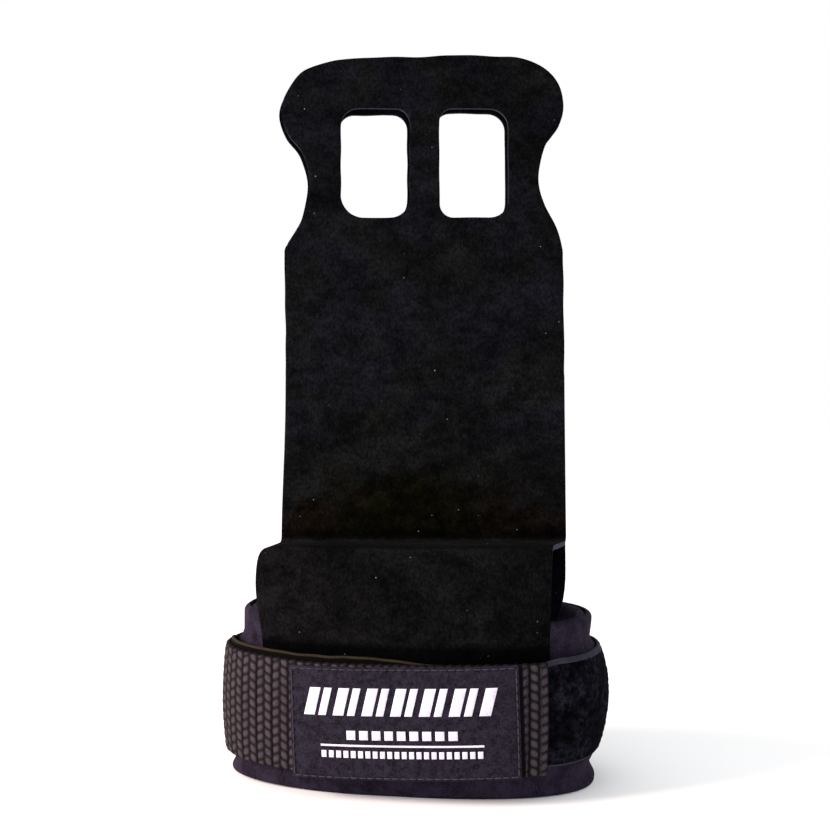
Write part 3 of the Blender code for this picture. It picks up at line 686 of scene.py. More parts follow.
def build_looks():
    return {
        # The front suede, with painted shade near the fold and the strap.
        "leather": suede("suede", (0.0036, 0.0037, 0.0054), (0.0035, 0.0035, 0.0035), True),
        # Painted shade: the back ply's suede and cut edge are darker, bluer copies of the front ones, for
        # the ply that lies behind in shadow.
        "back": suede("suede_back_shaded", (0.0010, 0.0014, 0.0026), (0.0009, 0.0013, 0.0018), False),
        "cut": cut_leather("cut_edge", (0.050, 0.046, 0.070)),
        "back_cut": cut_leather("back_cut_edge_shaded", (0.012, 0.012, 0.019)),
        "foam": foam("neoprene", (0.007, 0.0065, 0.008), (0.026, 0.023, 0.030)),
        "jersey": knit("jersey", (0.0058, 0.0042, 0.0080), (0.0295, 0.0218, 0.0385)),
        "webbing": webbing_yarn("webbing"),
        "pile": velour("loop_pile", (0.0004, 0.0004, 0.0008), (0.0150, 0.0136, 0.0205)),
        "selvedge": yarn("loop_selvedge", (0.008, 0.0072, 0.0115), (0.033, 0.030, 0.047)),
        "hook": yarn(
            "hook_tape", (0.0007, 0.0005, 0.0004), (0.0020, 0.0016, 0.0011), sheen=0.0, specular=0.02
        ),
        "hook_edge": yarn("hook_tape_edge", (0.009, 0.0066, 0.0036), (0.028, 0.0205, 0.0115)),
        "label": woven_label("label", (0.0022, 0.0017, 0.0031), (0.0215, 0.0175, 0.0285)),
        "print": yarn("label_mark", (0.50, 0.45, 0.55), (0.80, 0.74, 0.87), strand=0.35),
        "thread": yarn("thread", (0.020, 0.0165, 0.023), (0.056, 0.047, 0.062), strand=0.12),
        "dark_thread": yarn("dark_thread", (0.010, 0.0088, 0.0120), (0.032, 0.028, 0.038), strand=0.12),
    }


# ----------------------------------------------------------------- leather


def smooth_curve(points, steps):
    """Catmull-Rom curve through points (u, s), keeping its end points."""
    points = [np.array(p, float) for p in points]
    padded = [points[0], *points, points[-1]]
    curve = []
    for a, b, c, d in zip(padded, padded[1:], padded[2:], padded[3:]):
        for k in range(steps):
            t = k / steps
            linear = (c - a) * t
            square = (a * 2.0 - b * 5.0 + c * 4.0 - d) * t * t
            cube = (b * 3.0 - a - c * 3.0 + d) * t * t * t
            curve.append((b * 2.0 + linear + square + cube) * 0.5)
    curve.append(points[-1])
    return curve


def guard_outline(steps):
    """Edge of the guard above the split, anticlockwise from the lower right."""
    right = [(47.7, 98.5), (45.5, 107.0), (41.3, 115.5), (39.5, 125.0), (42.0, 135.5)]
    right += [(46.5, 142.5), (48.6, 149.5), (47.0, 157.3), (41.9, 163.4), (33.2, 167.0)]
    top = [(24.0, 167.6), (10.0, 168.0), (0.0, 167.3)]
    top += [(-14.0, 167.0), (-26.0, 166.5), (-33.5, 165.3)]
    left = [(-42.4, 161.9), (-47.5, 155.2), (-49.8, 147.5), (-47.5, 139.8)]
    left += [(-42.3, 132.8), (-39.8, 122.5), (-42.0, 110.5), (-47.6, 100.6)]
    edge = [np.array((GUARD_HALF_WIDTH, SPLIT_S))]
    edge += smooth_curve(right + top + left, steps)
    edge.append(np.array((-GUARD_HALF_WIDTH, SPLIT_S)))
    return np.array(edge)


def window_outline(side, steps, top_drop=0.0):
    """Hand-cut rounded rectangle that one finger goes through; side is -1 or 1."""
    centre = np.array((side * WINDOW_CENTRE[0], WINDOW_CENTRE[1]))
    half = np.array(WINDOW_SIZE) / 2.0
    points = []
    for quarter, signs in enumerate(((1, 1), (-1, 1), (-1, -1), (1, -1))):
        radius = WINDOW_RADII[side][quarter]
        corner = np.array(signs) * (half - radius)
        if signs[1] > 0:
            corner[1] -= top_drop
        for k in range(steps + 1):
            angle = (quarter + k / steps) * math.pi / 2.0
            arm = np.array((math.cos(angle), math.sin(angle))) * radius
            points.append(centre + corner + arm)
    return np.array(points)


def resample(points, step, closed):
    """Points about a step apart along an open or closed run of points."""
    chain = np.vstack([points, points[:1]]) if closed else points
    arcs = arc_lengths(chain)
    count = max(8, round(arcs[-1] / step))
    places = np.linspace(0.0, arcs[-1], count + 1)
    return sampled(places[:-1] if closed else places, arcs, chain)


def inward(points, closed):
    """Unit normals to the left of a run of points."""
    if closed:
        along = np.roll(points, -1, axis=0) - np.roll(points, 1, axis=0)
    else:
        along = np.gradient(points, axis=0)
    return turned_left(unit(along))


def turned_left(vectors):
    return np.stack([-vectors[:, 1], vectors[:, 0]], axis=1)


def inside_loop(points, loop):
    """Which points lie inside a closed outline."""
    x, y = points[:, 0], points[:, 1]
    inside = np.zeros(len(points), bool)
    for a, b in zip(loop, np.roll(loop, -1, axis=0)):
        if a[1] == b[1]:
            continue
        spans = (a[1] > y) != (b[1] > y)
        crossing = a[0] + (y - a[1]) / (b[1] - a[1]) * (b[0] - a[0])
        inside ^= spans & (x < crossing)
    return inside


def distance_to(points, edges):
    """Distance from each point to the nearest of the edge points."""
    best = np.full(len(points), 1e9)
    for edge in edges:
        gaps = np.linalg.norm(points[:, None, :] - edge[None, :, :], axis=2)
        best = np.minimum(best, gaps.min(axis=1))
    return best


def cut_drop(distance):
    return np.interp(distance, CUT_INSETS, CUT_DROPS)


def wobble(loop, seed):
    """The outline as cut by hand: it wanders by a tenth of a millimetre or so."""
    wander = CUT_WANDER * ripple(loop[:, 0] * 0.6, loop[:, 1] * 0.6, seed=seed)
    return loop + inward(loop, True) * wander[:, None]


def upper_ply(name, shift, depth, looks, seed, window_drops):
    """Palm above the split and head with two windows, as one piece of leather."""
    side = resample(guard_outline(8), CUT_STEP, closed=False)
    side[1:-1] = wobble(side, seed)[1:-1]
    lean_in = smoothstep(SPLIT_S, SPLIT_S + SHIFT_SPAN, side[:, 1])[:, None]
    side = side + lean_in * np.array(shift)
    windows = []
    for k, drop in window_drops.items():
        cut = resample(window_outline(k, 8, drop) + shift, CUT_STEP, closed=True)
        windows.append(wobble(cut, seed + 3 + k))
    base = resample(np.array([side[-1], side[0]]), CUT_STEP, closed=False)[1:-1]
    base_gap = np.minimum(base[:, 0] - side[-1][0], side[0][0] - base[:, 0])
    outline = np.vstack([side, base])
    loose = loose_points(side, windows, outline)
    dense = [resample(side, 0.1, closed=False)]
    dense += [resample(w, 0.1, closed=True) for w in windows]
    drops = [np.full(len(side), CUT_DROPS[0]), cut_drop(base_gap)]
    drops += [np.full(len(w), CUT_DROPS[0]) for w in windows]
    drops.append(cut_drop(distance_to(loose, dense)))
    return ply_mesh(name, [outline, *windows], loose, np.concatenate(drops), depth, looks)


def loose_points(side, windows, outline):
    """Points within a ply: rows that follow the cuts, and a net between them."""
    loose = []
    for inset in CUT_INSETS[1:]:
        loose.append(side + inward(side, False) * inset)
        loose += [w - inward(w, True) * inset for w in windows]
    u_values = spaced(-NET_HALF_WIDTH, NET_HALF_WIDTH, NET_STEP)
    s_values = spaced(SPLIT_S + NET_STEP, NET_TOP, NET_STEP)
    net = np.stack(np.meshgrid(u_values, s_values), axis=-1).reshape(-1, 2)
    keep = inside_loop(net, outline)
    for window in windows:
        keep &= ~inside_loop(net, window)
    keep &= distance_to(net, [side, *windows]) > NET_CLEAR
    loose = np.vstack([*loose, net[keep]])
    return loose[loose[:, 1] >= SPLIT_S - 1e-6]


def ply_mesh(name, loops, loose, drops, depth, looks):
    """Thick sheet between a front and a back copy of one triangulation."""
    edges = []
    start = 0
    for loop in loops:
        edges += [(start + k, start + (k + 1) % len(loop)) for k in range(len(loop))]
        start += len(loop)
    flat = [Vector(point) for point in np.vstack([*loops, loose]).tolist()]
    verts, _, faces, origins, *_ = delaunay_2d_cdt(flat, edges, [], 1, 1e-5)
    plane = np.array([(v.x, v.y) for v in verts])
    drop = np.array([drops[o[0]] if o else 0.0 for o in origins])
    centres = np.array([plane[list(f)].mean(axis=0) for f in faces])
    keep = np.ones(len(faces), bool)
    for hole in loops[1:]:
        keep &= ~inside_loop(centres, hole)
    solid = [f for f, k in zip(faces, keep) if k]
    count = len(plane)
    polygons = [tuple(f) for f in solid] + [tuple(i + count for i in reversed(f)) for f in solid]
    slots = [0] * len(polygons)
    used = {(a, b) for f in solid for a, b in zip(f, f[1:] + f[:1])}
    for a, b in sorted((a, b) for a, b in used if (b, a) not in used):
        polygons.append((b, a, a + 2 * count, b + 2 * count))
        polygons.append((b + 2 * count, a + 2 * count, a + count, b + count))
        slots += [1, 1]
    half = PLY_THICKNESS / 2.0 - drop
    middle = depth + PLY_THICKNESS / 2.0
    layers = [guard_at(plane[:, 0], plane[:, 1], middle + rise) for rise in (-half, half, 0.0 * half)]
    used_verts = sorted({i for f in polygons for i in f})
    lookup = {old: new for new, old in enumerate(used_verts)}
    polygons = [tuple(lookup[i] for i in f) for f in polygons]
    return add_mesh(name, np.vstack(layers)[used_verts], polygons, looks, slots, smooth_angle=55.0)


def rounded_path(corners, radii, steps=5):
    """Points along a polyline whose inner corners are rounded; radii fit them."""
    points = [corners[0]]
    for before, corner, after, radius in zip(corners, corners[1:], corners[2:], radii):
        start = corner + unit(before - corner) * radius
        end = corner + unit(after - corner) * radius
        for k in range(steps + 1):
            t = k / steps
            points.append(start * (1 - t) ** 2 + corner * 2 * t * (1 - t) + end * t * t)
    points.append(corners[-1])
    return np.array(points)


def front_path(u):
    """Middle of the front ply from the split down over the fold to under the strap."""
    share = u / FRONT_PLY_HALF_WIDTH
    guard_u = share * GUARD_HALF_WIDTH
    middle = PLY_THICKNESS / 2.0
    flare = FLARE_LEFT * smoothstep(-0.7, -1.0, share)
    corners = []
    for s in (*PATH_LEVELS, -SHELF_DROP):
        corners.append(guard_at(guard_u - flare * (1.0 - smoothstep(0.0, FLARE_TOP, s)), s, middle))
    fold_y = FOLD_FRONT + FOLD_SIDE_RETREAT * abs(share) ** 2.2 + u * math.sin(FOLD_YAW)
    corner = smoothstep(-0.86, -1.0, share)
    fold_x = FOLD_CENTRE_X + u * math.cos(FOLD_YAW) + FOLD_CORNER_IN * corner
    corners.append(np.array((fold_x, fold_y, FOLD_TOP - FOLD_CORNER_DROP * corner)))
    offset = FRONT_PLY_OFFSET + middle
    strap_top = STRAP.at(FOLD_CENTRE_X + u, offset, STRAP_TOP_CLEAR)
    belly = corners[-1] + (strap_top - corners[-1]) * FRONT_BELLY_SHARE
    belly[0] -= FRONT_BELLY_LEFT * smoothstep(-0.75, -1.0, share)
    corners += [belly, strap_top, STRAP.at(FOLD_CENTRE_X + u, offset, LEATHER_FOOT)]
    return rounded_path(corners, FRONT_BENDS)


def back_path(u):
    """Middle of the back ply from the split down to the cuff's inner front wall."""
    middle = PLY_THICKNESS * 1.5 + PLY_GAP
    corners = [guard_at(u, s, middle) for s in (*PATH_LEVELS, TAIL_TURN_S)]
    arc = TAIL_ARC_CENTRE + u * TAIL_ARC_SCALE
    corners += [TAIL.at(arc, -PLY_THICKNESS / 2.0, z) for z in (TAIL_WALL_TOP, LEATHER_FOOT)]
    return rounded_path(corners, BACK_BENDS)


def refined(paths, step):
    """Same subdivision of every path, so that the rows of points line up."""
    middle = paths[len(paths) // 2]
    lengths = np.linalg.norm(np.diff(middle, axis=0), axis=1)
    counts = np.maximum(1, np.round(lengths / step)).astype(int)
    shares = np.concatenate([i + np.arange(c) / c for i, c in enumerate(counts)] + [[len(counts)]])
    low = np.minimum(shares.astype(int), len(counts) - 1)
    part = (shares - low)[None, :, None]
    return paths[:, low] * (1.0 - part) + paths[:, low + 1] * part


def lower_ply(name, path, half_width, sway, looks, seed):
    """Palm below the split and the wrist end, as one piece of leather."""
    across, depth, edge = band_section(
        -half_width, half_width, PLY_THICKNESS, CUT_INSETS, CUT_DROPS, PLY_STEP_ACROSS, edge_rows=1
    )
    columns = np.unique(np.round(across, 6))
    grid = refined(np.array([path(u) for u in columns]), PLY_STEP_ALONG).transpose(1, 0, 2)
    normals = grid_normals(grid)
    if sway:
        heights = grid[..., 2]
        free = smoothstep(STRAP_TOP, STRAP_TOP + FRONT_SWAY_RISE, heights)
        free = free * smoothstep(*FRONT_SWAY_SPAN, grid[..., 1])
        swell = ripple(columns[None, :] * 0.17, heights * 0.12, seed=seed)
        grid = grid + normals * (sway * swell * free)[..., None]
        normals = grid_normals(grid)
    index = np.searchsorted(columns, np.round(across, 6) - 1e-7)
    rings = grid[:, index] + normals[:, index] * depth[None, :, None]
    return loft(name, rings, looks, edge.astype(int).tolist(), smooth_angle=55.0, cap_slot=1)


def build_leather(looks):
    """Each ply as two meshes: the upper one takes in the head with the finger windows, the lower one the
    wrist end.
    """
    behind = PLY_THICKNESS + PLY_GAP
    uppers = {
        "front": ((0.0, 0.0), 0.0, [looks["leather"], looks["cut"]], SEED, {-1: 0.0, 1: 0.0}),
        "back": (BACK_PLY_SHIFT, behind, [looks["back"], looks["back_cut"]], SEED + 20, BACK_WINDOW_DROPS),
    }
    for side, (shift, depth, pair, seed, drops) in uppers.items():
        piece = upper_ply(f"{side}_leather_upper", shift, depth, pair, seed, drops)
        nodes = (f"{side}_leather_palm", f"{side}_leather_head")
        hold_ply(piece, nodes)
    lowers = {
        "front": (front_path, FRONT_PLY_HALF_WIDTH, FRONT_SWAY, SEED + 40, (0.0958, 0.158)),
        "back": (back_path, GUARD_HALF_WIDTH, 0.0, SEED + 60, (0.0954, 0.1225)),
    }
    for side, (path, half_width, sway, seed, flat) in lowers.items():
        pair = uppers[side][2]
        piece = lower_ply(f"{side}_leather_lower", path, half_width, sway, pair, seed)
        hold_ply(piece, (f"{side}_leather_wrist",))


def hold_ply(piece, nodes):
    """Fix a mesh in place and hide the nodes that it stands for."""
    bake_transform(piece)
    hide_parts(*nodes)


def carry(piece, body, slot, *nodes):
    """Let a body carry a piece that stands for some nodes, and hide those nodes; the slot is not used."""
    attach(piece, body)
    if nodes:
        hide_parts(*nodes)


# -------------------------------------------------------------------- cuff


def cuff_at(angle, z, offset):
    """Point at an offset from the foam's outer face."""
    angle, z, offset = np.broadcast_arrays(*(np.asarray(v, float) for v in (angle, z, offset)))
    rightness = smoothstep(-0.6, 0.6, np.sin(angle))
    foot_height, foot_spread = (
        left + (right - left) * rightness for left, right in (FOOT_HEIGHTS, FOOT_SPREADS)
    )
    foot = (1.0 - np.clip(z / foot_height, 0.0, 1.0)) ** 1.5
    rim = smoothstep(STRAP_TOP - RIM_RISE, CUFF_HEIGHT, z)
    half_width = CUFF_HALF_WIDTH - SKIN_INSET + foot_spread * foot + RIM_SPREAD * rim
    half_depth = CUFF_HALF_DEPTH - SKIN_INSET + FOOT_SPREAD_Y * foot
    base = oval_points(half_width, half_depth, angle)
    outwards = offset + side_swell(base, z) * smoothstep(-FOAM_THICKNESS, 0.0, offset)
    placed = base + oval_normals(half_width, half_depth, base) * outwards[..., None]
    low = 1.0 - np.clip(z / FOOT_LIFT_HEIGHT, 0.0, 1.0)
    lift = FOOT_LIFT * smoothstep(*FOOT_LIFT_SPAN, placed[..., 0]) * low
    slope = RIM_SLOPE * placed[..., 0] * smoothstep(STRAP_TOP - RIM_SLOPE_RISE, CUFF_HEIGHT, z)
    placed[..., 0] += RIM_SHIFT * rim
    placed[..., 2] = z + lift - slope
    return placed


def side_swell(base, z):
    """Foam squeezed out against the strap at both sides, where no leather lies."""
    x = base[..., 0]
    side = smoothstep(*SWELL_SPAN, np.abs(x))
    under = smoothstep(5.0, 11.0, z) * (1.0 - smoothstep(STRAP_TOP - 0.8, STRAP_TOP + 2.4, z))
    return side * under * np.where(x > 0.0, SWELLS[1], SWELLS[0])


def rounded_section(low, high, inner, outer, radius, step):
    """Closed outline, in height and offset, of a wall with rounded rims."""
    points = []
    corners = ((low, outer, 180), (low, inner, 270), (high, inner, 0), (high, outer, 90))
    for z, offset, first in corners:
        z_centre = z + radius * (1 if z == low else -1)
        offset_centre = offset + radius * (1 if offset == inner else -1)
        for k in range(5):
            turn = math.radians(first + 22.5 * k)
            points.append((z_centre + radius * math.cos(turn), offset_centre + radius * math.sin(turn)))
    return stepped(np.array(points), step, closed=True)


def stepped(points, step, closed):
    """A run of points or a closed outline, with its long sides divided into steps."""
    ends = np.roll(points, -1, axis=0) if closed else points[1:]
    out = []
    for a, b in zip(points, ends):
        count = max(1, round(np.linalg.norm(b - a) / step))
        out += [a + (b - a) * k / count for k in range(count)]
    return np.array(out if closed else [*out, points[-1]])


def skin_section(face, direction):
    """Thin facing that follows the foam and curls over its rounded rims."""
    low, high = SKIN_SPAN
    bottom = []
    for k in range(7):
        turn = math.radians(90.0 * k / 6)
        inwards = SKIN_CURL - SKIN_CURL * math.sin(turn)
        bottom.append((low + SKIN_CURL - SKIN_CURL * math.cos(turn), face - direction * inwards))
    top = [(low + high - z, offset) for z, offset in reversed(bottom)]
    line = stepped(np.array(bottom + top), 1.6, closed=False)
    normal = turned_left(unit(np.gradient(line, axis=0))) * direction
    return np.vstack([line + normal * SKIN_THICKNESS, line[::-1]])


def cuff_piece(name, section, look):
    """Wall of that section all the way round; above the strap it sways a little."""
    angles = np.linspace(0.0, 2.0 * math.pi, CUFF_SEGMENTS, endpoint=False)[:, None]
    around, z, offset = np.broadcast_arrays(angles, section[:, 0], section[:, 1])
    free = smoothstep(STRAP_TOP, CUFF_HEIGHT, z)
    swell = ripple(3.0 * np.sin(around), 4.0 * np.cos(around), z * 0.1, seed=SEED)
    rings = cuff_at(around, z, offset + CUFF_SWAY * swell * free)
    rise = ripple(5.0 * np.cos(around), 4.0 * np.sin(around), seed=SEED + 1)
    rings[..., 2] += 0.5 * CUFF_SWAY * free * rise
    return loft(name, rings[:, ::-1], [look], closed=True, smooth_angle=60.0)


def build_cuff(looks):
    """Foam tube with rounded rims, between two knit facings."""
    wall = rounded_section(0.0, CUFF_HEIGHT + FOAM_RISE, -FOAM_THICKNESS, 0.0, FOAM_RIM_RADIUS, 2.0)
    pad = cuff_piece("cuff_pad", wall, looks["foam"])
    outer = cuff_piece("cuff_facing", skin_section(SKIN_GAP, 1.0), looks["jersey"])
    lining = skin_section(-FOAM_THICKNESS - SKIN_GAP, -1.0)[::-1]
    inner = cuff_piece("cuff_lining_knit", lining, looks["jersey"])
    carry(pad, "cuff", "neoprene", "cuff_foam")
    for piece, node, width in ((outer, "cuff_outer_jersey", 0.313), (inner, "cuff_lining", 0.276)):
        carry(piece, "cuff", "jersey", node)


# ------------------------------------------------------------------- strap


def weave_height(run, z):
    """Height of the webbing's face, from 0 in the wells to 1 on the crowns."""
    rib = np.floor(run / RIB_PITCH)
    x = run / RIB_PITCH - rib - 0.5
    slant = PICK_SLANT * np.where(rib % 2 == 0, 1.0, -1.0)
    y = z / PICK_PITCH + 0.5 * (rib % 2) + slant * x
    y = y - np.floor(y) - 0.5
    ribbed = np.clip(1.0 - (2.0 * np.abs(x)) ** 2.6, 0.0, 1.0) ** 0.5
    picked = np.clip(np.cos(math.pi * y), 0.0, 1.0) ** 0.6
    return ribbed * (0.35 + 0.65 * picked)


def build_webbing(looks):
    """Webbing from the back, round the left side and over the front."""
    low, high = STRAP_BOTTOM + WEBBING_MARGIN, STRAP_TOP - WEBBING_MARGIN
    position, depth, _ = band_section(low, high, 1.0, *WEBBING_EDGE, WEAVE_STEP, edge_rows=1)
    outer = depth > 0.0
    arcs = spaced(WEBBING_BACK_ARC, TAB_END_ARC, WEAVE_STEP)[:, None]
    run = arcs - TAB_END_ARC
    # Beside the label's end the weave is pressed flat, and its crown value of 0 paints it dark there: a
    # painted shadow along the label's edge.
    beside_label = np.abs(arcs - LABEL_ARCS[1] - LABEL_TURN * (STRAP_MIDDLE - position) - 0.5)
    height = weave_height(run, position) * smoothstep(0.2, 1.0, beside_label)
    edge_gap = np.minimum(position - low, high - position)
    fade = smoothstep(0.0, 0.7, edge_gap)
    lift = height * fade * np.where(outer, WEAVE_DEPTH, -0.2)
    worn = 0.12 * ripple(run * 0.5, position * 0.5, seed=SEED)
    selvedge = 0.12 * np.sin(2.0 * math.pi * arcs / RIB_PITCH) * (1.0 - smoothstep(0.0, 0.8, edge_gap))
    z = position + selvedge * np.sign(position - STRAP_MIDDLE) + strap_tilt(arcs)
    rings = strap_at(arcs, z, webbing_offset(arcs) + 0.3 + depth + lift + worn * lift)
    webbing = loft("strap_webbing", rings[:, ::-1], [looks["webbing"]], smooth_angle=180.0)
    # This crown value sets the webbing's painted highlights on its crowns and its painted shade in the
    # wells; it is darker towards the edges.
    crown_lighting = (height * np.where(outer, 0.4 + 0.6 * fade, 0.55))[:, ::-1]
    attribute = webbing.data.attributes.new("crown", "FLOAT", "POINT")
    attribute.data.foreach_set("value", crown_lighting.astype(np.float32).ravel())
    peel(webbing, "webbing", "webbing_back", "webbing_tab")


def peel(piece, slot, *nodes):
    """Fix a layer of the strap in place and hide the nodes that it stands for."""
    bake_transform(piece)
    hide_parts(*nodes)


def hook_rise(arc):
    """The hook tape shows above the webbing on the left and sinks towards the right."""
    shown = smoothstep(*HOOK_SHOWN_FROM, arc) - smoothstep(*HOOK_SHOWN_TO, arc)
    return HOOK_HIDDEN + HOOK_SHOWN * shown


def build_hook_tape(looks):
    """Hook tape behind the webbing, with a paler bound edge along its top."""
    arcs = spaced(HOOK_BACK_ARC, TAB_END_ARC - 3.0, 1.0)[:, None]
    position, depth, _ = band_section(0.0, 1.0, HOOK_THICKNESS, *HOOK_EDGE, step=0.04)
    top = STRAP_TOP + hook_rise(arcs) + strap_tilt(arcs)
    bottom = STRAP_BOTTOM + 1.0
    z = bottom + (top - bottom) * position + 0.12 * ripple(arcs * 0.8, seed=SEED + 5) * position
    rings = strap_at(arcs, z, webbing_offset(arcs) - HOOK_INSET + HOOK_THICKNESS / 2.0 + depth)
    bound = (np.minimum(position, np.roll(position, -1)) > 0.975)[::-1]
    slots = np.roll(bound, -1).astype(int).tolist()
    pair = [looks["hook"], looks["hook_edge"]]
    tape = loft("hook_tape", rings[:, ::-1], pair, slots, smooth_angle=60.0)
    peel(tape, "hook_tape", "hook_patch")


def build_loop_band(looks):
    """Loop tape: brushed pile between two flat woven selvedges."""
    bottom, top = LOOP_BOTTOM, STRAP_TOP + 0.1
    position, depth, _ = band_section(bottom, top, LOOP_THICKNESS, *LOOP_EDGE, LOOP_STEP)
    arcs = spaced(*LOOP_ARCS, LOOP_STEP)[:, None]
    pile = (depth > 0.0) & (np.minimum(position - bottom, top - position) > LOOP_SELVEDGE)
    tuft = 0.16 * ripple(arcs * 1.7, position * 1.7, seed=SEED + 8)
    tuft = tuft + 0.12 * ripple(arcs * 4.1, position * 3.7, seed=SEED + 9)
    z = position + 0.25 * ripple(arcs * 0.16, seed=SEED + 10)
    covered = 1.0 - smoothstep(TAB_END_ARC - 6.0, TAB_END_ARC + 6.0, arcs)
    z = z - LOOP_DIP * covered * smoothstep(30.0, top, position)
    rings = strap_at(arcs, z, loop_offset(arcs) + LOOP_THICKNESS / 2.0 - 0.25 + depth + tuft * pile)
    slots = [0 if p else 1 for p in (pile & np.roll(pile, -1))[::-1]]
    pair = [looks["pile"], looks["selvedge"]]
    band = loft("loop_pile_band", rings[:, ::-1], pair, slots, smooth_angle=60.0)
    carry(band, "cuff", "loop_pile", "loop_band")


# ------------------------------------------------------------------- label


def label_at(a, h, lift):
    """Point on the label: a along it and h up it, both from its centre."""
    arc = LABEL_MIDDLE + a - LABEL_TURN * h
    z = STRAP_MIDDLE + LABEL_DROP + h + LABEL_TURN * a
    return strap_at(arc, z, LABEL_OFFSET + lift)


def build_label(looks):
    """Woven label, pressed down along its border, with its marks."""
    half_a, half_h = LABEL_HALF
    position, depth, _ = band_section(-half_h, half_h, LABEL_THICKNESS, *LABEL_EDGE, step=1.0)
    along = spaced(-half_a, half_a, 0.9)[:, None]
    pucker = 0.07 * ripple(along * 0.9, position * 0.3, seed=SEED + 12)
    end_gap = half_a - np.abs(along)
    end_drop = 0.12 * (1.0 - smoothstep(0.0, 0.4, end_gap))
    pressed = 0.25 * (1.0 - smoothstep(0.0, 1.6, np.minimum(end_gap, half_h - np.abs(position))))
    lift = LABEL_THICKNESS / 2.0 + depth * (1.0 - end_drop) + pucker - pressed
    rings = label_at(along, position, lift)
    label = loft("label_patch", rings[:, ::-1], [looks["label"]], smooth_angle=60.0)
    carry(label, "strap_tab", "label", "label")
    marks = build_marks(looks)


def mark_boxes():
    """Left, right, low and high edge of each mark, and how far its top leans over."""
    boxes = []
    for row in MARK_ROWS:
        low, high = row["span"]
        widths = row["widths"]
        for k in range(row["count"]):
            left = row["left"] + k * row["pitch"]
            boxes.append((left, left + widths[k % len(widths)], low, high, (high - low) * row["slant"]))
    return boxes


def build_marks(looks):
    """The label's light marks, woven slightly proud of its ground."""
    verts = []
    faces = []
    for left, right, low, high, lean in mark_boxes():
        rows = max(1, round((high - low) / MARK_STEP))
        columns = max(1, round((right - left) / MARK_STEP))
        faces += block_faces(len(verts), rows, columns)
        for layer, (lift, shrink) in enumerate(MARK_LAYERS):
            for i in range(rows + 1):
                t = i / rows
                y = low + shrink + (high - low - 2.0 * shrink) * t
                start = left + lean * t + shrink
                end = right + lean * t - shrink
                for j in range(columns + 1):
                    x = start + (end - start) * j / columns
                    verts.append((x, y, lift + MARK_GRAIN * layer * ((i + j) % 2)))
    marks = add_mesh("label_marks", label_at(*np.array(verts).T), faces, [looks["print"]], smooth_angle=50.0)
    carry(marks, "strap_tab", "label")
    return marks


def block_faces(start, rows, columns):
    """Faces of a low block whose three layers of points follow one another."""
    layer = (rows + 1) * (columns + 1)
    ring = list(range(columns + 1))
    ring += [(i + 1) * (columns + 1) - 1 for i in range(1, rows + 1)]
    ring += [rows * (columns + 1) + j for j in range(columns - 1, -1, -1)]
    ring += [i * (columns + 1) for i in range(rows - 1, 0, -1)]
    faces = []
    for level in (0, 1):
        base = start + level * layer
        for a, b in zip(ring, ring[1:] + ring[:1]):
            faces.append((base + a, base + b, base + layer + b, base + layer + a))
    for i in range(rows):
        for j in range(columns):
            k = i * (columns + 1) + j
            quad = (k, k + 1, k + columns + 2, k + columns + 1)
            faces.append(tuple(start + 2 * layer + q for q in quad))
            faces.append(tuple(start + q for q in reversed(quad)))
    return faces


# ---------------------------------------------------------------- stitches


def stitch_row(points, normals, length, gap, radius, proud):
    """Separate stitches along a line: each rises from the fabric and dips back."""
    arcs = arc_lengths(points)
    count = max(1, int((arcs[-1] + gap) // (length + gap)))
    pitch = arcs[-1] / count
    t = np.linspace(0.0, 1.0, 7)
    rise = proud * np.sin(math.pi * t) ** 0.5 - radius
    thick = radius * (0.55 + 0.45 * np.sin(math.pi * t) ** 0.4)
    turns = np.linspace(0.0, 2.0 * math.pi, 8, endpoint=False)[None, :, None]
    rings = []
    for k in range(count):
        start = k * pitch + gap / 2.0
        end = (k + 1) * pitch - gap / 2.0
        places = start + (end - start) * t
        out = unit(sampled(places, arcs, normals))
        core = sampled(places, arcs, points) + out * rise[:, None]
        ahead = unit(np.gradient(core, axis=0))
        side = unit(np.cross(ahead, out))
        up = np.cross(side, ahead)
        circle = np.cos(turns) * side[:, None] + np.sin(turns) * up[:, None]
        rings.append(core[:, None] + circle * thick[:, None, None])
    return rings


def stitches(name, rows, look, body, node, **changes):
    """One piece made of every stitch along the given rows of points and normals."""
    shape = STITCH | changes
    verts = []
    faces = []
    start = 0
    for points, normals in rows:
        for ring in stitch_row(points, normals, **shape):
            steps, count = ring.shape[:2]
            verts.append(ring.reshape(-1, 3))
            faces += [tuple(start + i for i in f) for f in ring_faces(steps, count, False)]
            faces.append(tuple(start + i for i in range(count)))
            faces.append(tuple(start + (steps - 1) * count + i for i in reversed(range(count))))
            start += steps * count
    piece = add_mesh(name, np.vstack(verts), faces, [look], smooth_angle=70.0)
    carry(piece, body, "thread", node)


def build_label_stitches(looks):
    a, h = (half - LABEL_STITCH_INSET for half in LABEL_HALF)
    corners = ((-a, -h), (a, -h), (a, h), (-a, h), (-a, -h))
    t = np.linspace(0.0, 1.0, 60)
    rows = []
    for (a0, h0), (a1, h1) in zip(corners, corners[1:]):
        along = a0 + (a1 - a0) * t
        points = label_at(along, h0 + (h1 - h0) * t, LABEL_THICKNESS)
        rows.append((points, STRAP.frame_at(LABEL_MIDDLE + along)[1]))
    stitches("label_border_stitches", rows, looks["thread"], "strap_tab", "label_stitch", **LABEL_STITCH)


def upright_row(arc):
    """Points and normals of a line up the webbing's outer face."""
    arcs = np.full(40, arc)
    heights = np.linspace(STRAP_BOTTOM + 1.5, STRAP_TOP - 1.5, 40)
    points = strap_at(arcs, heights, webbing_offset(arc) + WEBBING_THICKNESS - 0.1)
    return points, STRAP.frame_at(arcs)[1]


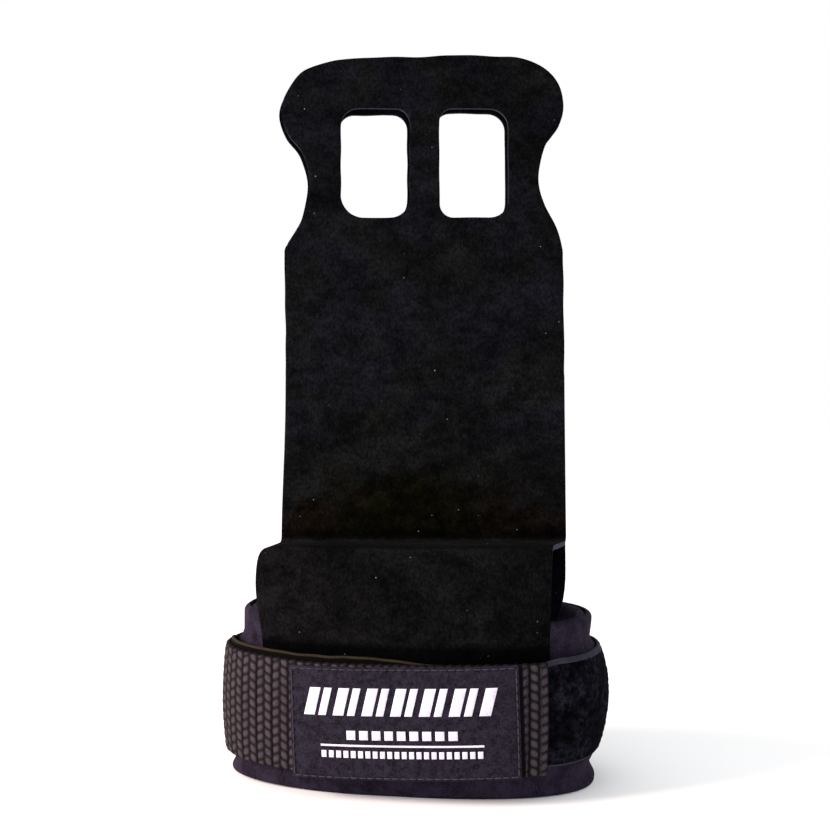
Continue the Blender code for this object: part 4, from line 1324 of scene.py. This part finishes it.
def build_strap_stitches(looks):
    """Two rows at the tab's free end, and two where the webbing is sewn on."""
    pairs = (
        ("tab_end_stitch", TAB_STITCH_ARCS, "dark_thread", "strap_tab", TAB_STITCH),
        ("strap_anchor_stitch", ANCHOR_ARCS, "thread", "cuff", {}),
    )
    for node, arcs, look, body, spacing in pairs:
        for number, arc in enumerate(arcs, start=1):
            name = f"{node}es_{number}"
            stitches(name, [upright_row(arc)], looks[look], body, f"{node}_{number}", **spacing)


def build_leather_stitches(looks):
    """Rows that sew both plies through the cuff's front wall."""
    places = {
        "outer": (STRAP, FRONT_PLY_OFFSET + PLY_THICKNESS, 1.0, (-44.0, 43.0)),
        "inner": (TAIL, -PLY_THICKNESS, -1.0, (-37.0, 43.0)),
    }
    for face, (path, offset, sign, span) in places.items():
        arcs = np.linspace(*span, 80)
        for level, z in zip(("lower", "upper"), ANCHOR_ROW_HEIGHTS):
            row = (path.at(arcs, offset, z), path.frame_at(arcs)[1] * sign)
            name = f"leather_stitches_{face}_{level}"
            node = f"leather_stitch_{face}_{level}"
            stitches(name, [row], looks["thread"], "cuff", node, **ANCHOR_STITCH)


def build_cuff_seam(looks):
    """Zigzag stitches over the butt seam at the back, outside and inside."""
    corners = spaced(SEAM_MARGIN, CUFF_HEIGHT - SEAM_MARGIN, SEAM_STEP)
    t = np.linspace(0.0, 1.0, 8)
    for face, offset, sign in (("outer", SEAM_LIFT, 1.0), ("inner", -FOAM_THICKNESS - SEAM_LIFT, -1.0)):
        rows = []
        for k, (low, high) in enumerate(zip(corners, corners[1:])):
            start = -SEAM_SWING if k % 2 else SEAM_SWING
            z = low + (high - low) * t
            wall = cuff_at(math.pi, z, offset)
            points = np.stack([start - 2.0 * start * t, wall[:, 1], z], axis=1)
            rows.append((points, np.tile((0.0, sign, 0.0), (8, 1))))
        name = f"cuff_seam_stitches_{face}"
        stitches(name, rows, looks["thread"], "cuff", f"cuff_seam_thread_{face}", **SEAM_STITCH)


# ------------------------------------------------------------------- stage


def build_stage():
    """White floor, white surroundings and soft studio lamps."""
    bpy.ops.mesh.primitive_plane_add(size=6.0)
    floor = bpy.context.object
    floor.name = "floor"
    material = bpy.data.materials.new("floor")
    material.use_nodes = True
    shader = material.node_tree.nodes["Principled BSDF"]
    shader.inputs["Base Color"].default_value = (1.0, 1.0, 1.0, 1.0)
    shader.inputs["Roughness"].default_value = 1.0
    shader.inputs["Specular IOR Level"].default_value = 0.0
    floor.data.materials.append(material)
    world = bpy.data.worlds.new("surroundings")
    world.use_nodes = True
    background = world.node_tree.nodes["Background"]
    background.inputs["Color"].default_value = (1.0, 1.0, 1.0, 1.0)
    background.inputs["Strength"].default_value = 1.0
    bpy.context.scene.world = world
    bpy.context.scene.view_settings.view_transform = "Standard"
    lamps = (
        ("key", (-1.0, -0.5, 0.5), 0.45, 26.0, (1.0, 0.83, 0.77)),
        ("fill", (0.6, -1.0, 0.2), 0.6, 3.2, (0.62, 0.74, 1.0)),
    )
    for name, place, size, power, colour in lamps:
        add_lamp(name, place, size, power, colour)


def add_lamp(name, place, size, power, colour):
    data = bpy.data.lights.new(name, "AREA")
    data.shape = "SQUARE"
    data.size = size
    data.energy = power
    data.color = colour
    lamp = bpy.data.objects.new(name, data)
    lamp.location = place
    aim = Vector((0.0, 0.0, 0.11)) - Vector(place)
    lamp.rotation_euler = aim.to_track_quat("-Z", "Y").to_euler()
    bpy.context.scene.collection.objects.link(lamp)


def build_camera():
    data = bpy.data.cameras.new("camera")
    data.sensor_width = SENSOR
    data.lens = LENS
    camera = bpy.data.objects.new("camera", data)
    bpy.context.scene.collection.objects.link(camera)
    x, y, _ = CUFF_CENTRE * MM
    x += VIEW_DISTANCE * math.sin(VIEW_AZIMUTH)
    y -= VIEW_DISTANCE * math.cos(VIEW_AZIMUTH)
    camera.location = (x, y, VIEW_HEIGHT)
    camera.rotation_euler = (math.pi / 2.0 - VIEW_PITCH, 0.0, VIEW_AZIMUTH)
    bpy.context.scene.camera = camera


build_camera()
build_stage()
looks = build_looks()
build_leather(looks)
build_cuff(looks)
build_loop_band(looks)
build_hook_tape(looks)
build_webbing(looks)
build_label(looks)
build_label_stitches(looks)
build_strap_stitches(looks)
build_leather_stitches(looks)
build_cuff_seam(looks)
